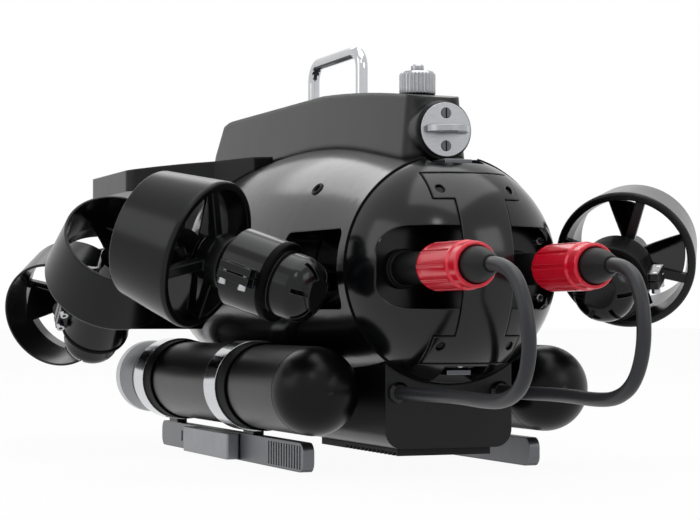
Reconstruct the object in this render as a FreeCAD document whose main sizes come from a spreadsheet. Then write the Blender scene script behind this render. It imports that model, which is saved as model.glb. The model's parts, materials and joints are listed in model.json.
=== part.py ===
import FreeCAD, Part
import Sketcher
import math
import os
from FreeCAD import Placement, Rotation, Vector

# Underwater inspection vehicle.  +X is to starboard, +Y is ahead and +Z is up.
# The origin lies midway along the vehicle, on its centre plane, at the height of the ground under its skids.

# Driving dimensions, in millimetres and degrees
SIZES = {
    # Hull: a moulded buoyancy fairing round a pressure tube that lies along Y
    "hullHeight": 135.0,
    "fitGap": 0.3,
    "seatGap": 0.1,
    "capRadius": 77.0,
    "capWall": 4.0,
    "capCentreY": -198.2,
    "seamY": -214.0,
    "seamGap": 0.8,
    "postWidth": 11.0,
    "drainRadius": 3.2,
    "drainY": -134.0,
    "drainAngle": 40.0,
    "waistY": -126.0,
    "waistSwell": 7.0,
    "waistRise": 3.0,
    "shoulderY": -60.0,
    "shoulderSwell": 11.0,
    "shoulderRise": 6.5,
    "chestY": 80.0,
    "chestSwell": 10.0,
    "chestRise": 6.0,
    "browY": 160.0,
    "browSwell": 1.0,
    "browRise": 3.0,
    "noseY": 206.0,
    "noseWall": 3.2,
    # Slot round the stern, for the connectors and the stern thruster arms
    "slotHeight": 53.0,
    "slotHalfWidth": 64.0,
    "channelFrontY": -122.0,
    "channelRound": 18.0,
    "notchHalfWidth": 19.0,
    "notchLift": 3.0,
    "lowNotchLap": 2.5,
    "notchFrontY": -198.5,
    "lowNotchHalfWidth": 15.0,
    "latchHalfWidth": 9.5,
    "latchThick": 3.0,
    "latchBackY": -227.0,
    # Strap cover over the middle of the stern cap
    "strapHalfWidth": 17.2,
    "strapEndHalfWidth": 30.0,
    "strapStepShare": 0.572,
    "strapEndShare": 0.793,
    "strapDepth": 2.2,
    "strapProud": 0.4,
    "strapGap": 0.8,
    "strapScrewSink": 1.2,
    "strapScrewX": 24.4,
    "strapScrewShare": 0.653,
    "strapScrewRadius": 2.6,
    "strapScrewLength": 3.0,
    # Pressure tube, its stern plate and the screws round it
    "tubeInset": 16.5,
    "tubeWall": 5.0,
    "tubeBackY": -214.0,
    "tubeFlangeThick": 5.0,
    "endPlateThick": 12.0,
    "flangeReach": 5.5,
    "endScrewInset": 4.2,
    "endScrewRadius": 2.8,
    "endScrewHead": 3.2,
    "endScrewCount": 10.0,
    # Camera dome in the bow
    "domeInset": 8.5,
    "domeWall": 3.5,
    "domeRingThick": 7.0,
    "domeFlange": 4.0,
    "domeScrewInset": 5.2,
    "domeScrewCount": 8.0,
    "bulkheadY": 138.0,
    "bulkheadThick": 6.0,
    "pivotY": 204.0,
    "yokeHalfGap": 27.0,
    "yokeThick": 5.0,
    "yokeHalfHeight": 12.0,
    "trunnionRadius": 4.0,
    "runningGap": 0.06,
    "cameraHalfWidth": 24.0,
    "cameraRadius": 26.0,
    "lensRadius": 16.0,
    "lensReach": 38.0,
    # Ducted thrusters, six alike
    "rimRadius": 50.0,
    "mouthRadius": 43.6,
    "ductBore": 41.6,
    "ductLength": 48.5,
    "rimBore": 44.6,
    "rimDepth": 7.0,
    "rimRound": 2.5,
    "lipRound": 1.0,
    "strutWidth": 6.5,
    "strutDepth": 8.0,
    "strutRoll": 18.0,
    "strutCount": 4.0,
    "hubRadius": 16.0,
    "hubDepth": 8.0,
    "hubFront": -1.0,
    "hubDiscRadius": 18.0,
    "hubDiscThick": 12.0,
    "bossRadius": 16.0,
    "motorRadius": 22.0,
    "clampFront": 25.0,
    "clampLength": 29.0,
    "clampRadius": 26.0,
    "clampGap": 0.1,
    "clampSlit": 1.2,
    "lugReach": 33.0,
    "lugHalfHeight": 5.5,
    "clampScrewRadius": 1.7,
    "clampScrewHead": 3.0,
    "clampScrewHeadHeight": 3.5,
    "clampScrewInset": 7.0,
    "armHalfHeight": 6.5,
    "armWidth": 23.0,
    "bandRadius": 25.3,
    "bandLength": 4.6,
    "motorNoseRadius": 21.4,
    "motorNoseLength": 25.5,
    "motorNoseRound": 13.0,
    "noseSlotWidth": 3.0,
    "noseSlotDepth": 4.5,
    "noseSlotCount": 6.0,
    "shaftRadius": 3.0,
    "shaftReach": 22.0,
    "propHubRadius": 12.0,
    "propHubBack": 5.0,
    "propHubLength": 21.0,
    "propNoseLength": 9.0,
    "propBoreDepth": 18.0,
    "bladeReach": 15.0,
    "bladeCount": 4.0,
    "bladeTipRadius": 40.6,
    "bladeRootStation": 9.0,
    "bladeMidStation": 26.0,
    "bladeTipStation": 43.0,
    "rootChord": 15.0,
    "midChord": 25.0,
    "tipChord": 33.0,
    "rootPitch": 52.0,
    "midPitch": 36.0,
    "tipPitch": 26.0,
    "rootThick": 3.2,
    "midThick": 2.4,
    "tipThick": 1.6,
    "bladeCamber": 1.6,
    # Thruster places: the middle of each port-side rim, and the way its axis leans
    "sternX": -154.1,
    "sternY": -174.0,
    "sternRise": 8.3,
    "midshipX": -157.4,
    "midshipY": 67.0,
    "midshipRise": -3.3,
    "bowX": -144.5,
    "bowY": 214.9,
    "bowRise": -14.7,
    "toeAngle": 41.4,
    "tiltAngle": 18.2,
    "midshipTilt": 39.3,
    # Battery tubes under the hull
    "batteryRadius": 29.6,
    "batteryHullGap": 1.1,
    "batteryKeelGap": 4.0,
    "batterySkidGap": 2.65,
    "batteryBackY": -184.0,
    "batteryFrontY": 155.0,
    "batteryCapLength": 55.0,
    "batteryCapRecess": 0.6,
    "batteryLidLength": 15.0,
    "batteryLidRound": 3.0,
    "linerWidth": 44.0,
    "linerThick": 1.5,
    "linerGap": 0.05,
    "bandWidth": 26.0,
    "bandThick": 1.2,
    "foreBandY": 129.0,
    "aftBandY": -58.0,
    "bandShift": 9.0,
    # Keel box between the battery tubes
    "keelHalfWidth": 45.6,
    "keelBottom": 17.0,
    "keelRound": 12.0,
    "keelBackY": -212.0,
    "keelFrontY": 128.0,
    "keelEdgeRound": 4.0,
    "keelPadThick": 5.0,
    "keelPadBackY": -204.0,
    "keelPadFrontY": -64.0,
    "keelRibWidth": 3.0,
    "keelRibPitch": 7.0,
    "keelRibCount": 13.0,
    "keelRibDepth": 2.5,
    # Skids
    "skidThick": 8.0,
    "skidInset": 1.2,
    "skidHeight": 19.7,
    "skidBackY": -171.0,
    "skidFrontY": 161.0,
    "skidRound": 7.0,
    "skidSlotY": 98.0,
    "skidSlotPitch": 14.0,
    "skidSlotWidth": 4.0,
    "skidSlotHeight": 8.0,
    "skidRibInset": 5.0,
    "skidRibPitch": 5.2,
    "skidRibCount": 13.0,
    "skidRibDepth": 1.0,
    "ballastLength": 108.0,
    "ballastThick": 10.0,
    "ballastBackY": -39.0,
    "ballastLift": 0.6,
    # Top fairing, with the handle, the vent cap and the tether plate
    "finHalfWidth": 24.0,
    "finBackY": -200.0,
    "finFrontY": 214.0,
    "finBackRound": 16.0,
    "finDraft": 5.0,
    "finBackRise": 118.5,
    "finMidRise": 134.0,
    "finFrontRise": 135.5,
    "finMidY": -24.0,
    "finBrowY": 190.0,
    "finFootRise": 61.0,
    "handleFrontY": 42.0,
    "handleBackY": -58.0,
    "handleRise": 31.5,
    "handleRadius": 4.5,
    "handleBend": 14.0,
    "handleSink": 12.0,
    "handleCollarRadius": 7.5,
    "handleCollarHeight": 4.0,
    "ventY": -160.0,
    "ventBaseRadius": 12.0,
    "ventBaseHeight": 2.1,
    "ventStemRadius": 5.0,
    "ventCapRadius": 12.5,
    "ventCapHeight": 16.0,
    "ventCapGap": 0.4,
    "ventRecessGap": 1.2,
    "ventNubRadius": 4.5,
    "ventNubHeight": 5.0,
    "knurlCount": 30.0,
    "knurlRadius": 0.9,
    "tetherRise": 93.2,
    "tetherBackY": -204.0,
    "tetherBossRadius": 20.0,
    "tetherBossReach": 14.0,
    "tetherRadius": 18.0,
    "tetherThick": 3.5,
    "tetherScrewZ": 11.0,
    "tetherScrewRadius": 3.4,
    "eyeReach": 15.0,
    "eyeThick": 4.0,
    "eyeHoleRadius": 5.0,
    # Bow deck over the forward thrusters
    "deckHalfWidth": 125.0,
    "deckFrontY": 268.0,
    "deckShoulderY": 132.0,
    "deckBackY": 70.0,
    "deckBackHalfWidth": 40.0,
    "deckBottomRise": 70.0,
    "deckEdgeThick": 17.0,
    "deckCrown": 9.0,
    "deckRound": 24.0,
    "deckSwept": 60.0,
    # Lamps under the bow deck
    "lampX": 68.0,
    "lampDrop": 19.0,
    "lampRadius": 16.0,
    "lampBackY": 208.0,
    "lampFrontY": 240.0,
    "lampLensThick": 3.0,
    "lampLensRadius": 13.0,
    "lampFootHalfWidth": 7.0,
    # Cable connectors in the stern
    "connectorX": 40.0,
    "connectorDrop": 0.5,
    "flangeRadius": 13.0,
    "flangeThick": 5.0,
    "receptacleRadius": 10.5,
    "receptacleBackY": -283.0,
    "sleeveRadius": 15.2,
    "sleeveFrontY": -279.0,
    "sleeveBackY": -338.0,
    "sleeveRibCount": 10.0,
    "sleeveRibDepth": 1.3,
    "sleeveRibWidth": 3.0,
    "sleeveRound": 5.0,
    "sleeveLipLength": 10.0,
    "sleeveBore": 12.2,
    "plugRadius": 11.2,
    "plugTailRadius": 5.4,
    "plugTailLength": 23.0,
    "plugBackY": -358.0,
    "cableRadius": 4.4,
    "glandX": 36.5,
    "glandZ": 54.0,
    "glandRadius": 7.0,
    "glandLength": 4.0,
}

doc = FreeCAD.newDocument("InspectionVehicle")
sheet = doc.addObject("Spreadsheet::Sheet", "Sizes")
for row, (alias, value) in enumerate(SIZES.items(), start=1):
    sheet.set(f"A{row}", alias)
    sheet.set(f"B{row}", str(value))
    sheet.setAlias(f"B{row}", alias)
doc.recompute()


class Size:
    # A value together with the formula that the document keeps for it
    def __init__(self, value, text):
        self.value = value
        self.text = text

    def __add__(self, other):
        other = asSize(other)
        return Size(self.value + other.value, f"({self.text} + {other.text})")

    def __sub__(self, other):
        other = asSize(other)
        return Size(self.value - other.value, f"({self.text} - {other.text})")

    def __mul__(self, other):
        other = asSize(other)
        return Size(self.value * other.value, f"({self.text} * {other.text})")

    def __truediv__(self, other):
        other = asSize(other)
        return Size(self.value / other.value, f"({self.text} / {other.text})")

    def __radd__(self, other):
        return asSize(other) + self

    def __rsub__(self, other):
        return asSize(other) - self

    def __rmul__(self, other):
        return asSize(other) * self

    def __rtruediv__(self, other):
        return asSize(other) / self

    def __neg__(self):
        return Size(-self.value, f"(0 - {self.text})")


def asSize(value):
    return value if isinstance(value, Size) else Size(float(value), repr(float(value)))


def dim(alias):
    return Size(float(sheet.get(alias)), f"Sizes.{alias}")


def root(size):
    return Size(math.sqrt(size.value), f"sqrt({size.text})")


def larger(first, second):
    return Size(max(first.value, second.value), f"max({first.text}; {second.text})")


def reachAcross(apart, above):
    # The level distance between two axes that lie apart, one of them higher by above
    square = apart * apart - above * above
    return Size(math.sqrt(max(square.value, 1)), f"sqrt(max({square.text}; 1))")


def cosine(angle):
    return Size(math.cos(math.radians(angle.value)), f"cos({angle.text} * 1 deg)")


def sine(angle):
    return Size(math.sin(math.radians(angle.value)), f"sin({angle.text} * 1 deg)")


def bind(thing, prop, size):
    thing.setExpression(prop, asSize(size).text)


def place(thing, x=0, y=0, z=0, rotation=None):
    # Places an object by formulas, turned by a fixed rotation where one is given
    x, y, z = asSize(x), asSize(y), asSize(z)
    thing.Placement = Placement(Vector(x.value, y.value, z.value), rotation or Rotation())
    bind(thing, "Placement.Base.x", x)
    bind(thing, "Placement.Base.y", y)
    bind(thing, "Placement.Base.z", z)


ALONG_Y = Rotation(Vector(1, 0, 0), -90)
ALONG_X = Rotation(Vector(0, 1, 0), 90)
pieces = []


def keep(thing, label):
    # A finished piece, which gets its own file
    thing.Label = label
    pieces.append(thing)
    return thing


def newBody(name):
    return doc.addObject("PartDesign::Body", name)


def sketchOn(body, role, shift=None):
    # An empty sketch on one of the body's own planes, moved along the plane's normal
    base = [feature for feature in body.Origin.OriginFeatures if feature.Role == role][0]
    sketch = body.newObject("Sketcher::SketchObject", body.Name + "Sketch")
    sketch.AttachmentSupport = [(base, "")]
    sketch.MapMode = "FlatFace"
    if shift is not None:
        sketch.AttachmentOffset = Placement(Vector(0, 0, asSize(shift).value), Rotation())
        bind(sketch, "AttachmentOffset.Base.z", shift)
    return sketch


def pin(sketch, geometry, end, x, y):
    # Fixes one point of the sketch at the formulas x and y
    for kind, size in (("DistanceX", x), ("DistanceY", y)):
        number = sketch.addConstraint(Sketcher.Constraint(kind, -1, 1, geometry, end, size.value))
        sketch.setExpression(f"Constraints[{number}]", size.text)


def draw(sketch, corners):
    # A closed outline.  A corner is (x, y), or (x, y, radius) where an arc leads to it: a positive radius
    # turns left on the way, a negative one turns right.
    corners = [[asSize(part) for part in corner] for corner in corners]
    count = len(corners)
    first = None
    ends = []
    for index, corner in enumerate(corners):
        before = corners[index - 1]
        start = Vector(before[0].value, before[1].value, 0)
        stop = Vector(corner[0].value, corner[1].value, 0)
        if len(corner) == 2:
            number = sketch.addGeometry(Part.LineSegment(start, stop), False)
            ends.append((number, 1, 2))
        else:
            radius = corner[2]
            chord = stop - start
            half = chord.Length / 2
            left = Vector(-chord.y, chord.x, 0).normalize()
            rise = math.sqrt(max(radius.value ** 2 - half ** 2, 0))
            turn = 1 if radius.value > 0 else -1
            centre = (start + stop) * 0.5 + left * rise * turn
            circle = Part.Circle(centre, Vector(0, 0, 1), abs(radius.value))
            low, high = (start, stop) if turn > 0 else (stop, start)
            arc = Part.ArcOfCircle(circle, circle.parameter(low), circle.parameter(high))
            number = sketch.addGeometry(arc, False)
            ends.append((number, 1, 2) if turn > 0 else (number, 2, 1))
            size = radius if turn > 0 else -radius
            limit = sketch.addConstraint(Sketcher.Constraint("Radius", number, size.value))
            sketch.setExpression(f"Constraints[{limit}]", size.text)
    for index in range(count):
        number, head, tail = ends[index]
        following = ends[(index + 1) % count]
        sketch.addConstraint(Sketcher.Constraint("Coincident", number, tail, following[0], following[1]))
        pin(sketch, number, tail, corners[index][0], corners[index][1])
    return sketch


def drawTrack(sketch, corners):
    # An open path through the same kind of corners as draw() takes
    corners = [[asSize(part) for part in corner] for corner in corners]
    last = None
    for before, corner in zip(corners, corners[1:]):
        start = Vector(before[0].value, before[1].value, 0)
        stop = Vector(corner[0].value, corner[1].value, 0)
        head, tail = 1, 2
        if len(corner) == 2:
            number = sketch.addGeometry(Part.LineSegment(start, stop), False)
        else:
            radius = corner[2]
            chord = stop - start
            left = Vector(-chord.y, chord.x, 0).normalize()
            rise = math.sqrt(max(radius.value ** 2 - chord.Length ** 2 / 4, 0))
            circle = Part.Circle((start + stop) * 0.5 + left * rise, Vector(0, 0, 1), radius.value)
            arc = Part.ArcOfCircle(circle, circle.parameter(start), circle.parameter(stop))
            number = sketch.addGeometry(arc, False)
            limit = sketch.addConstraint(Sketcher.Constraint("Radius", number, radius.value))
            sketch.setExpression(f"Constraints[{limit}]", radius.text)
        if last is None:
            pin(sketch, number, head, before[0], before[1])
        else:
            sketch.addConstraint(Sketcher.Constraint("Coincident", last, 2, number, head))
        pin(sketch, number, tail, corner[0], corner[1])
        last = number
    return sketch


def drawCircle(sketch, x, y, radius):
    x, y, radius = asSize(x), asSize(y), asSize(radius)
    circle = Part.Circle(Vector(x.value, y.value, 0), Vector(0, 0, 1), radius.value)
    number = sketch.addGeometry(circle, False)
    pin(sketch, number, 3, x, y)
    limit = sketch.addConstraint(Sketcher.Constraint("Radius", number, radius.value))
    sketch.setExpression(f"Constraints[{limit}]", radius.text)
    return sketch


def drawBox(sketch, left, right, low, high):
    return draw(sketch, [(left, low), (right, low), (right, high), (left, high)])


def pad(body, sketch, length, both=False, back=False, draft=None):
    feature = body.newObject("PartDesign::Pad", body.Name + "Pad")
    feature.Profile = sketch
    feature.SideType = "Symmetric" if both else "One side"
    feature.Reversed = back
    bind(feature, "Length", length)
    if draft is not None:
        bind(feature, "TaperAngle", draft)
    return feature


def pocket(body, sketch, length=None, both=False, back=False):
    feature = body.newObject("PartDesign::Pocket", body.Name + "Pocket")
    feature.Profile = sketch
    feature.SideType = "Symmetric" if both else "One side"
    feature.Reversed = back
    if length is None:
        feature.Type = "ThroughAll"
    else:
        bind(feature, "Length", length)
    return feature


def turn(body, sketch, cut=False):
    # Turns a profile once round the sketch's upright axis
    kind = "Groove" if cut else "Revolution"
    feature = body.newObject("PartDesign::" + kind, body.Name + kind)
    feature.Profile = sketch
    feature.ReferenceAxis = (sketch, ["V_Axis"])
    feature.Angle = 360
    return feature


def repeatRound(body, feature, sketch, count):
    # Copies a feature round the normal of the sketch that it came from, or round the named axis
    pattern = body.newObject("PartDesign::PolarPattern", body.Name + "Pattern")
    pattern.Originals = [feature]
    pattern.Axis = sketch
    pattern.Angle = 360
    bind(pattern, "Occurrences", count)
    body.Tip = pattern
    return pattern


def axisOf(body, role):
    return [feature for feature in body.Origin.OriginFeatures if feature.Role == role][0]


def boxAt(name, x0, x1, y0, y1, z0, z1):
    box = doc.addObject("Part::Box", name)
    for prop, low, high in (("Length", x0, x1), ("Width", y0, y1), ("Height", z0, z1)):
        bind(box, prop, asSize(high) - asSize(low))
    place(box, x0, y0, z0)
    return box


def rodAt(name, radius, length, x, y, z, rotation=None):
    rod = doc.addObject("Part::Cylinder", name)
    bind(rod, "Radius", radius)
    bind(rod, "Height", length)
    place(rod, x, y, z, rotation)
    return rod


def ballAt(name, radius, x, y, z):
    ball = doc.addObject("Part::Sphere", name)
    bind(ball, "Radius", radius)
    place(ball, x, y, z)
    return ball


def cut(name, base, *tools):
    result = doc.addObject("Part::Cut", name)
    result.Base = base
    result.Tool = tools[0] if len(tools) == 1 else fuse(name + "Tool", *tools)
    return result


def fuse(name, *shapes):
    result = doc.addObject("Part::MultiFuse", name)
    result.Shapes = list(shapes)
    return result


def common(name, first, second):
    result = doc.addObject("Part::MultiCommon", name)
    result.Shapes = [first, second]
    return result


def mirrored(name, source):
    # The same piece on the starboard side
    result = doc.addObject("Part::Mirroring", name)
    result.Source = source
    result.Normal = Vector(1, 0, 0)
    return result


def group(name, *shapes):
    result = doc.addObject("Part::Compound", name)
    result.Links = list(shapes)
    return result


def pair(name, source):
    # One node that holds the port piece and its starboard twin
    return group(name, source, mirrored(name + "Starboard", source))


def slab(name, role, corners, low, high):
    # A closed outline on one of the principal planes, drawn out along that plane's axis from low to high
    body = newBody(name)
    low, high = asSize(low), asSize(high)
    aft = role == "XZ_Plane"
    sketch = sketchOn(body, role, -low if aft else low)
    draw(sketch, corners)
    pad(body, sketch, high - low, back=aft)
    return body


def turned(name, role, corners):
    # A profile turned about the upright axis of its plane
    body = newBody(name)
    turn(body, draw(sketchOn(body, role), corners))
    return body


def roundedBox(left, right, low, high, radius):
    left, right, low, high, radius = [asSize(part) for part in (left, right, low, high, radius)]
    return [
        (left + radius, low, radius), (right - radius, low),
        (right, low + radius, radius), (right, high - radius),
        (right - radius, high, radius), (left + radius, high),
        (left, high - radius, radius), (left, low + radius),
    ]


def hexagon(radius, x=0, y=0):
    corners = []
    for index in range(6):
        angle = math.radians(60 * index)
        corners.append((x + asSize(radius) * math.cos(angle), y + asSize(radius) * math.sin(angle)))
    return corners


# Buoyancy fairing: round sections from the stern seam to the bow
hullHeight = dim("hullHeight")
seamY = dim("seamY")
noseY = dim("noseY")
seatGap = dim("seatGap")
fitGap = dim("fitGap")
runningGap = dim("runningGap")
capRadius = dim("capRadius")
capCentreY = dim("capCentreY")
seamStep = seamY - capCentreY
seamRadius = root(capRadius * capRadius - seamStep * seamStep)
tubeRadius = capRadius - dim("tubeInset")
noseRadius = tubeRadius + dim("noseWall")
hullSections = [(seamY, seamRadius, hullHeight)]
for word in ("waist", "shoulder", "chest", "brow"):
    hullSections.append((dim(word + "Y"), capRadius + dim(word + "Swell"), hullHeight + dim(word + "Rise")))
hullSections.append((noseY, noseRadius, hullHeight))


def hullForm(name, growth):
    body = newBody(name)
    sections = []
    for y, radius, height in hullSections:
        sections.append(drawCircle(sketchOn(body, "XZ_Plane", -y), 0, height, radius + growth))
    loft = body.newObject("PartDesign::AdditiveLoft", name + "Loft")
    loft.Profile = sections[0]
    loft.Sections = sections[1:]
    return body


fairingForm = hullForm("fairingForm", asSize(0))
envelope = hullForm("fairingEnvelope", seatGap)

slotLow = hullHeight - dim("slotHeight") / 2
slotHigh = hullHeight + dim("slotHeight") / 2
channelFront = dim("channelFrontY")
channelRound = dim("channelRound")
beyond = asSize(20)
channels = slab("channels", "YZ_Plane",
                roundedBox(seamY + dim("postWidth"), channelFront, slotLow, slotHigh, asSize(6)),
                -(capRadius + beyond), capRadius + beyond)
plateRadius = tubeRadius + dim("flangeReach")
notchFloor = hullHeight + plateRadius + dim("notchLift")
notchFront = dim("notchFrontY")
notchHalf = dim("notchHalfWidth")
capBack = capCentreY - capRadius
notch = boxAt("notch", -notchHalf, notchHalf, capBack, notchFront, notchFloor, notchFloor + capRadius / 2)
boreLength = noseY - seamY + beyond * 2
bore = rodAt("bore", tubeRadius + fitGap, boreLength, 0, seamY - beyond, hullHeight, ALONG_Y)
flangeFront = dim("tubeBackY") + dim("tubeFlangeThick")
flangeBore = rodAt("flangeBore", plateRadius + fitGap, flangeFront - seamY + beyond, 0, seamY - beyond, hullHeight,
                   ALONG_Y)
# A drain hole in each flank, square to the skin
holeAngle = dim("drainAngle")
holeStart = tubeRadius + 10
holeLean = Rotation(Vector(0, 1, 0), holeAngle.value - 90)
drainHole = rodAt("drainHole", dim("drainRadius"), capRadius * 0.4, -holeStart * cosine(holeAngle), dim("drainY"),
                  hullHeight + dim("waistRise") + holeStart * sine(holeAngle), holeLean)
keep(cut("mainFairing", fairingForm, bore, flangeBore, channels, notch, pair("drainHoles", drainHole)),
     "main_fairing")

# Stern cap: a ball shell behind the seam, slotted for the connectors
capSeam = seamY - dim("seamGap")
capInner = capRadius - dim("capWall")
capStep = capCentreY - capSeam
capMouth = root(capRadius * capRadius - capStep * capStep)
capMouthInner = root(capInner * capInner - capStep * capStep)
capShell = turned("capShell", "XY_Plane", [
    (0, capCentreY - capRadius), (capMouth, capSeam, capRadius),
    (capMouthInner, capSeam), (0, capCentreY - capInner, -capInner),
])
place(capShell, 0, 0, hullHeight)
slotHalf = dim("slotHalfWidth")
slot = slab("slot", "XZ_Plane", roundedBox(-slotHalf, slotHalf, slotLow, slotHigh, channelRound),
            capBack - beyond, capCentreY - 20)
lowNotchHalf = dim("lowNotchHalfWidth")
lowNotchTop = hullHeight - plateRadius + dim("lowNotchLap")
lowNotch = boxAt("lowNotch", -lowNotchHalf, lowNotchHalf, capBack, seamY, lowNotchTop - capRadius / 3,
                  lowNotchTop)


def strapOutline(growth):
    # A tall I shape, centred on the hull's axis
    half = dim("strapHalfWidth") + growth
    wide = dim("strapEndHalfWidth") + growth
    step = capRadius * dim("strapStepShare") - growth
    end = capRadius * dim("strapEndShare") + growth
    shape = [(-wide, -end), (wide, -end), (wide, -step), (half, -step), (half, step), (wide, step),
             (wide, end), (-wide, end), (-wide, step), (-half, step), (-half, -step), (-wide, -step)]
    return [(x, hullHeight + z) for x, z in shape]


def capShellBetween(name, inner, outer):
    return cut(name, ballAt(name + "Outside", outer, 0, capCentreY, hullHeight),
               ballAt(name + "Inside", inner, 0, capCentreY, hullHeight))


strapFloor = capRadius - dim("strapDepth")
strapTop = capRadius + dim("strapProud")
strapBack = capBack - beyond
strapFront = capCentreY - capRadius * 0.3
recessBlock = slab("recessBlock", "XZ_Plane", strapOutline(dim("strapGap")), strapBack, strapFront)
recess = common("recess", recessBlock, capShellBetween("recessShell", strapFloor, capRadius + 5))
keep(cut("rearCap", capShell, slot, notch, lowNotch, recess), "rear_cap")
strapBlock = slab("strapBlock", "XZ_Plane", strapOutline(asSize(0)), strapBack, strapFront)
strapSheet = common("strapSheet", strapBlock, capShellBetween("strapShell", strapFloor, strapTop))
strapHoles = []
strapScrews = []
screwShell = capShellBetween("screwShell", strapFloor, strapTop - dim("strapScrewSink"))
for index, (side, up) in enumerate([(-1, -1), (1, -1), (-1, 1), (1, 1)], start=1):
    x = dim("strapScrewX") * side
    z = hullHeight + capRadius * dim("strapScrewShare") * up
    reach = strapFront - strapBack
    radius = dim("strapScrewRadius")
    strapHoles.append(rodAt(f"strapHole{index}", radius + 0.15, reach, x, strapBack, z, ALONG_Y))
    stem = rodAt(f"strapStem{index}", radius, reach, x, strapBack, z, ALONG_Y)
    strapScrews.append(common(f"strapScrew{index}", stem, screwShell))
keep(cut("strapCover", strapSheet, *strapHoles), "strap_cover")

# Latch plates that hold the cap at the top and the bottom of the seam
latchHalf = dim("latchHalfWidth")
latchThick = dim("latchThick")
latchBack = dim("latchBackY")
upperLatch = boxAt("upperLatch", -latchHalf, latchHalf, latchBack, notchFront - 2, notchFloor,
                   notchFloor + latchThick)
lowLatchTop = hullHeight - plateRadius - fitGap
lowerLatch = boxAt("lowerLatch", -(latchHalf - 1), latchHalf - 1, latchBack, seamY, lowLatchTop - latchThick,
                   lowLatchTop)
keep(group("capLatches", upperLatch, lowerLatch), "cap_latches")


def hubbed(name, corners, x=0, z=None):
    # A profile of radius against Y, turned about a line along Y
    body = turned(name, "XY_Plane", corners)
    place(body, x, 0, hullHeight if z is None else z)
    return body


# Pressure tube with its stern flange and its bow bulkhead
tubeInner = tubeRadius - dim("tubeWall")
tubeBack = dim("tubeBackY")
bulkhead = dim("bulkheadY")
bulkheadFront = bulkhead + dim("bulkheadThick")
keep(hubbed("pressureTube", [
    (tubeInner, tubeBack), (plateRadius, tubeBack), (plateRadius, flangeFront), (tubeRadius, flangeFront),
    (tubeRadius, noseY), (tubeInner, noseY), (tubeInner, bulkheadFront), (0, bulkheadFront),
    (0, bulkhead), (tubeInner, bulkhead),
]), "pressure_tube")


def screwRing(name, faceY, outward, circle, radius, height, shank, depth, count, phase):
    # Socket screws round a line along Y, with their heads on the face at faceY.  Outward is -1 for heads
    # that stand aft and 1 for heads that stand ahead.
    body = newBody(name)
    x = circle * cosine(phase)
    z = circle * sine(phase)
    ahead = outward > 0
    stem = pad(body, drawCircle(sketchOn(body, "XZ_Plane", -faceY), x, z, shank), depth, back=not ahead)
    head = pad(body, drawCircle(sketchOn(body, "XZ_Plane", -faceY), x, z, radius), height, back=ahead)
    top = faceY + height * outward
    socket = draw(sketchOn(body, "XZ_Plane", -top), hexagon(radius * 0.55, x, z))
    hollow = pocket(body, socket, height * 0.6, back=ahead)
    pattern = body.newObject("PartDesign::PolarPattern", name + "Ring")
    pattern.Originals = [stem, head, hollow]
    pattern.Axis = (axisOf(body, "Y_Axis"), [""])
    pattern.Angle = 360
    bind(pattern, "Occurrences", count)
    body.Tip = pattern
    place(body, 0, 0, hullHeight)
    return body


# Stern end plate, with its ring of screws
plateBack = tubeBack - dim("endPlateThick")
spigot = asSize(8)
endCircle = plateRadius - dim("endScrewInset")
endPhase = 180 / dim("endScrewCount")
shankRadius = dim("endScrewRadius") * 0.6
endPlate = hubbed("rearEndPlate", [
    (0, plateBack), (plateRadius - 2, plateBack), (plateRadius, plateBack + 2, asSize(2)),
    (plateRadius, tubeBack), (tubeInner - fitGap, tubeBack), (tubeInner - fitGap, tubeBack + spigot),
    (0, tubeBack + spigot),
])
holeX = endCircle * cosine(endPhase)
holeZ = endCircle * sine(endPhase)
holeSketch = drawCircle(sketchOn(endPlate, "XZ_Plane", -plateBack), holeX, holeZ, shankRadius + 0.15)
hole = pocket(endPlate, holeSketch, dim("endPlateThick") - 1)
holes = repeatRound(endPlate, hole, (axisOf(endPlate, "Y_Axis"), [""]), dim("endScrewCount"))
keep(endPlate, "rear_end_plate")
keep(screwRing("endPlateScrews", plateBack, -1, endCircle, dim("endScrewRadius"), dim("endScrewHead"),
               shankRadius, dim("endPlateThick") - 2, dim("endScrewCount"), endPhase), "end_plate_screws")

# Camera dome, its clamp ring and the ring's screws
domeRadius = tubeRadius - dim("domeInset")
domeInner = domeRadius - dim("domeWall")
domeCentre = noseY + dim("domeFlange")
flangeRadius = domeRadius + dim("domeFlange")
keep(hubbed("domeWindow", [
    (domeInner, noseY), (flangeRadius, noseY), (flangeRadius, domeCentre), (domeRadius, domeCentre),
    (0, domeCentre + domeRadius, domeRadius), (0, domeCentre + domeInner),
    (domeInner, domeCentre, -domeInner),
]), "dome_window")
ringFront = noseY + dim("domeRingThick")
ringRadius = noseRadius - seatGap
domeCircle = ringRadius - dim("domeScrewInset")
keep(hubbed("domeRing", [
    (flangeRadius + fitGap, noseY), (ringRadius, noseY), (ringRadius, ringFront - 2),
    (ringRadius - 2, ringFront, asSize(2)), (domeRadius + fitGap, ringFront),
    (domeRadius + fitGap, domeCentre + seatGap), (flangeRadius + fitGap, domeCentre + seatGap),
]), "dome_ring")
domeScrewPhase = 180 / dim("domeScrewCount")
domeScrews = newBody("domeScrews")
screwX = domeCircle * cosine(domeScrewPhase)
screwZ = domeCircle * sine(domeScrewPhase)
domeHead = pad(domeScrews, drawCircle(sketchOn(domeScrews, "XZ_Plane", -ringFront), screwX, screwZ, 2.4),
               1.6, back=True)
repeatRound(domeScrews, domeHead, (axisOf(domeScrews, "Y_Axis"), [""]), dim("domeScrewCount"))
place(domeScrews, 0, 0, hullHeight)

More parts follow.
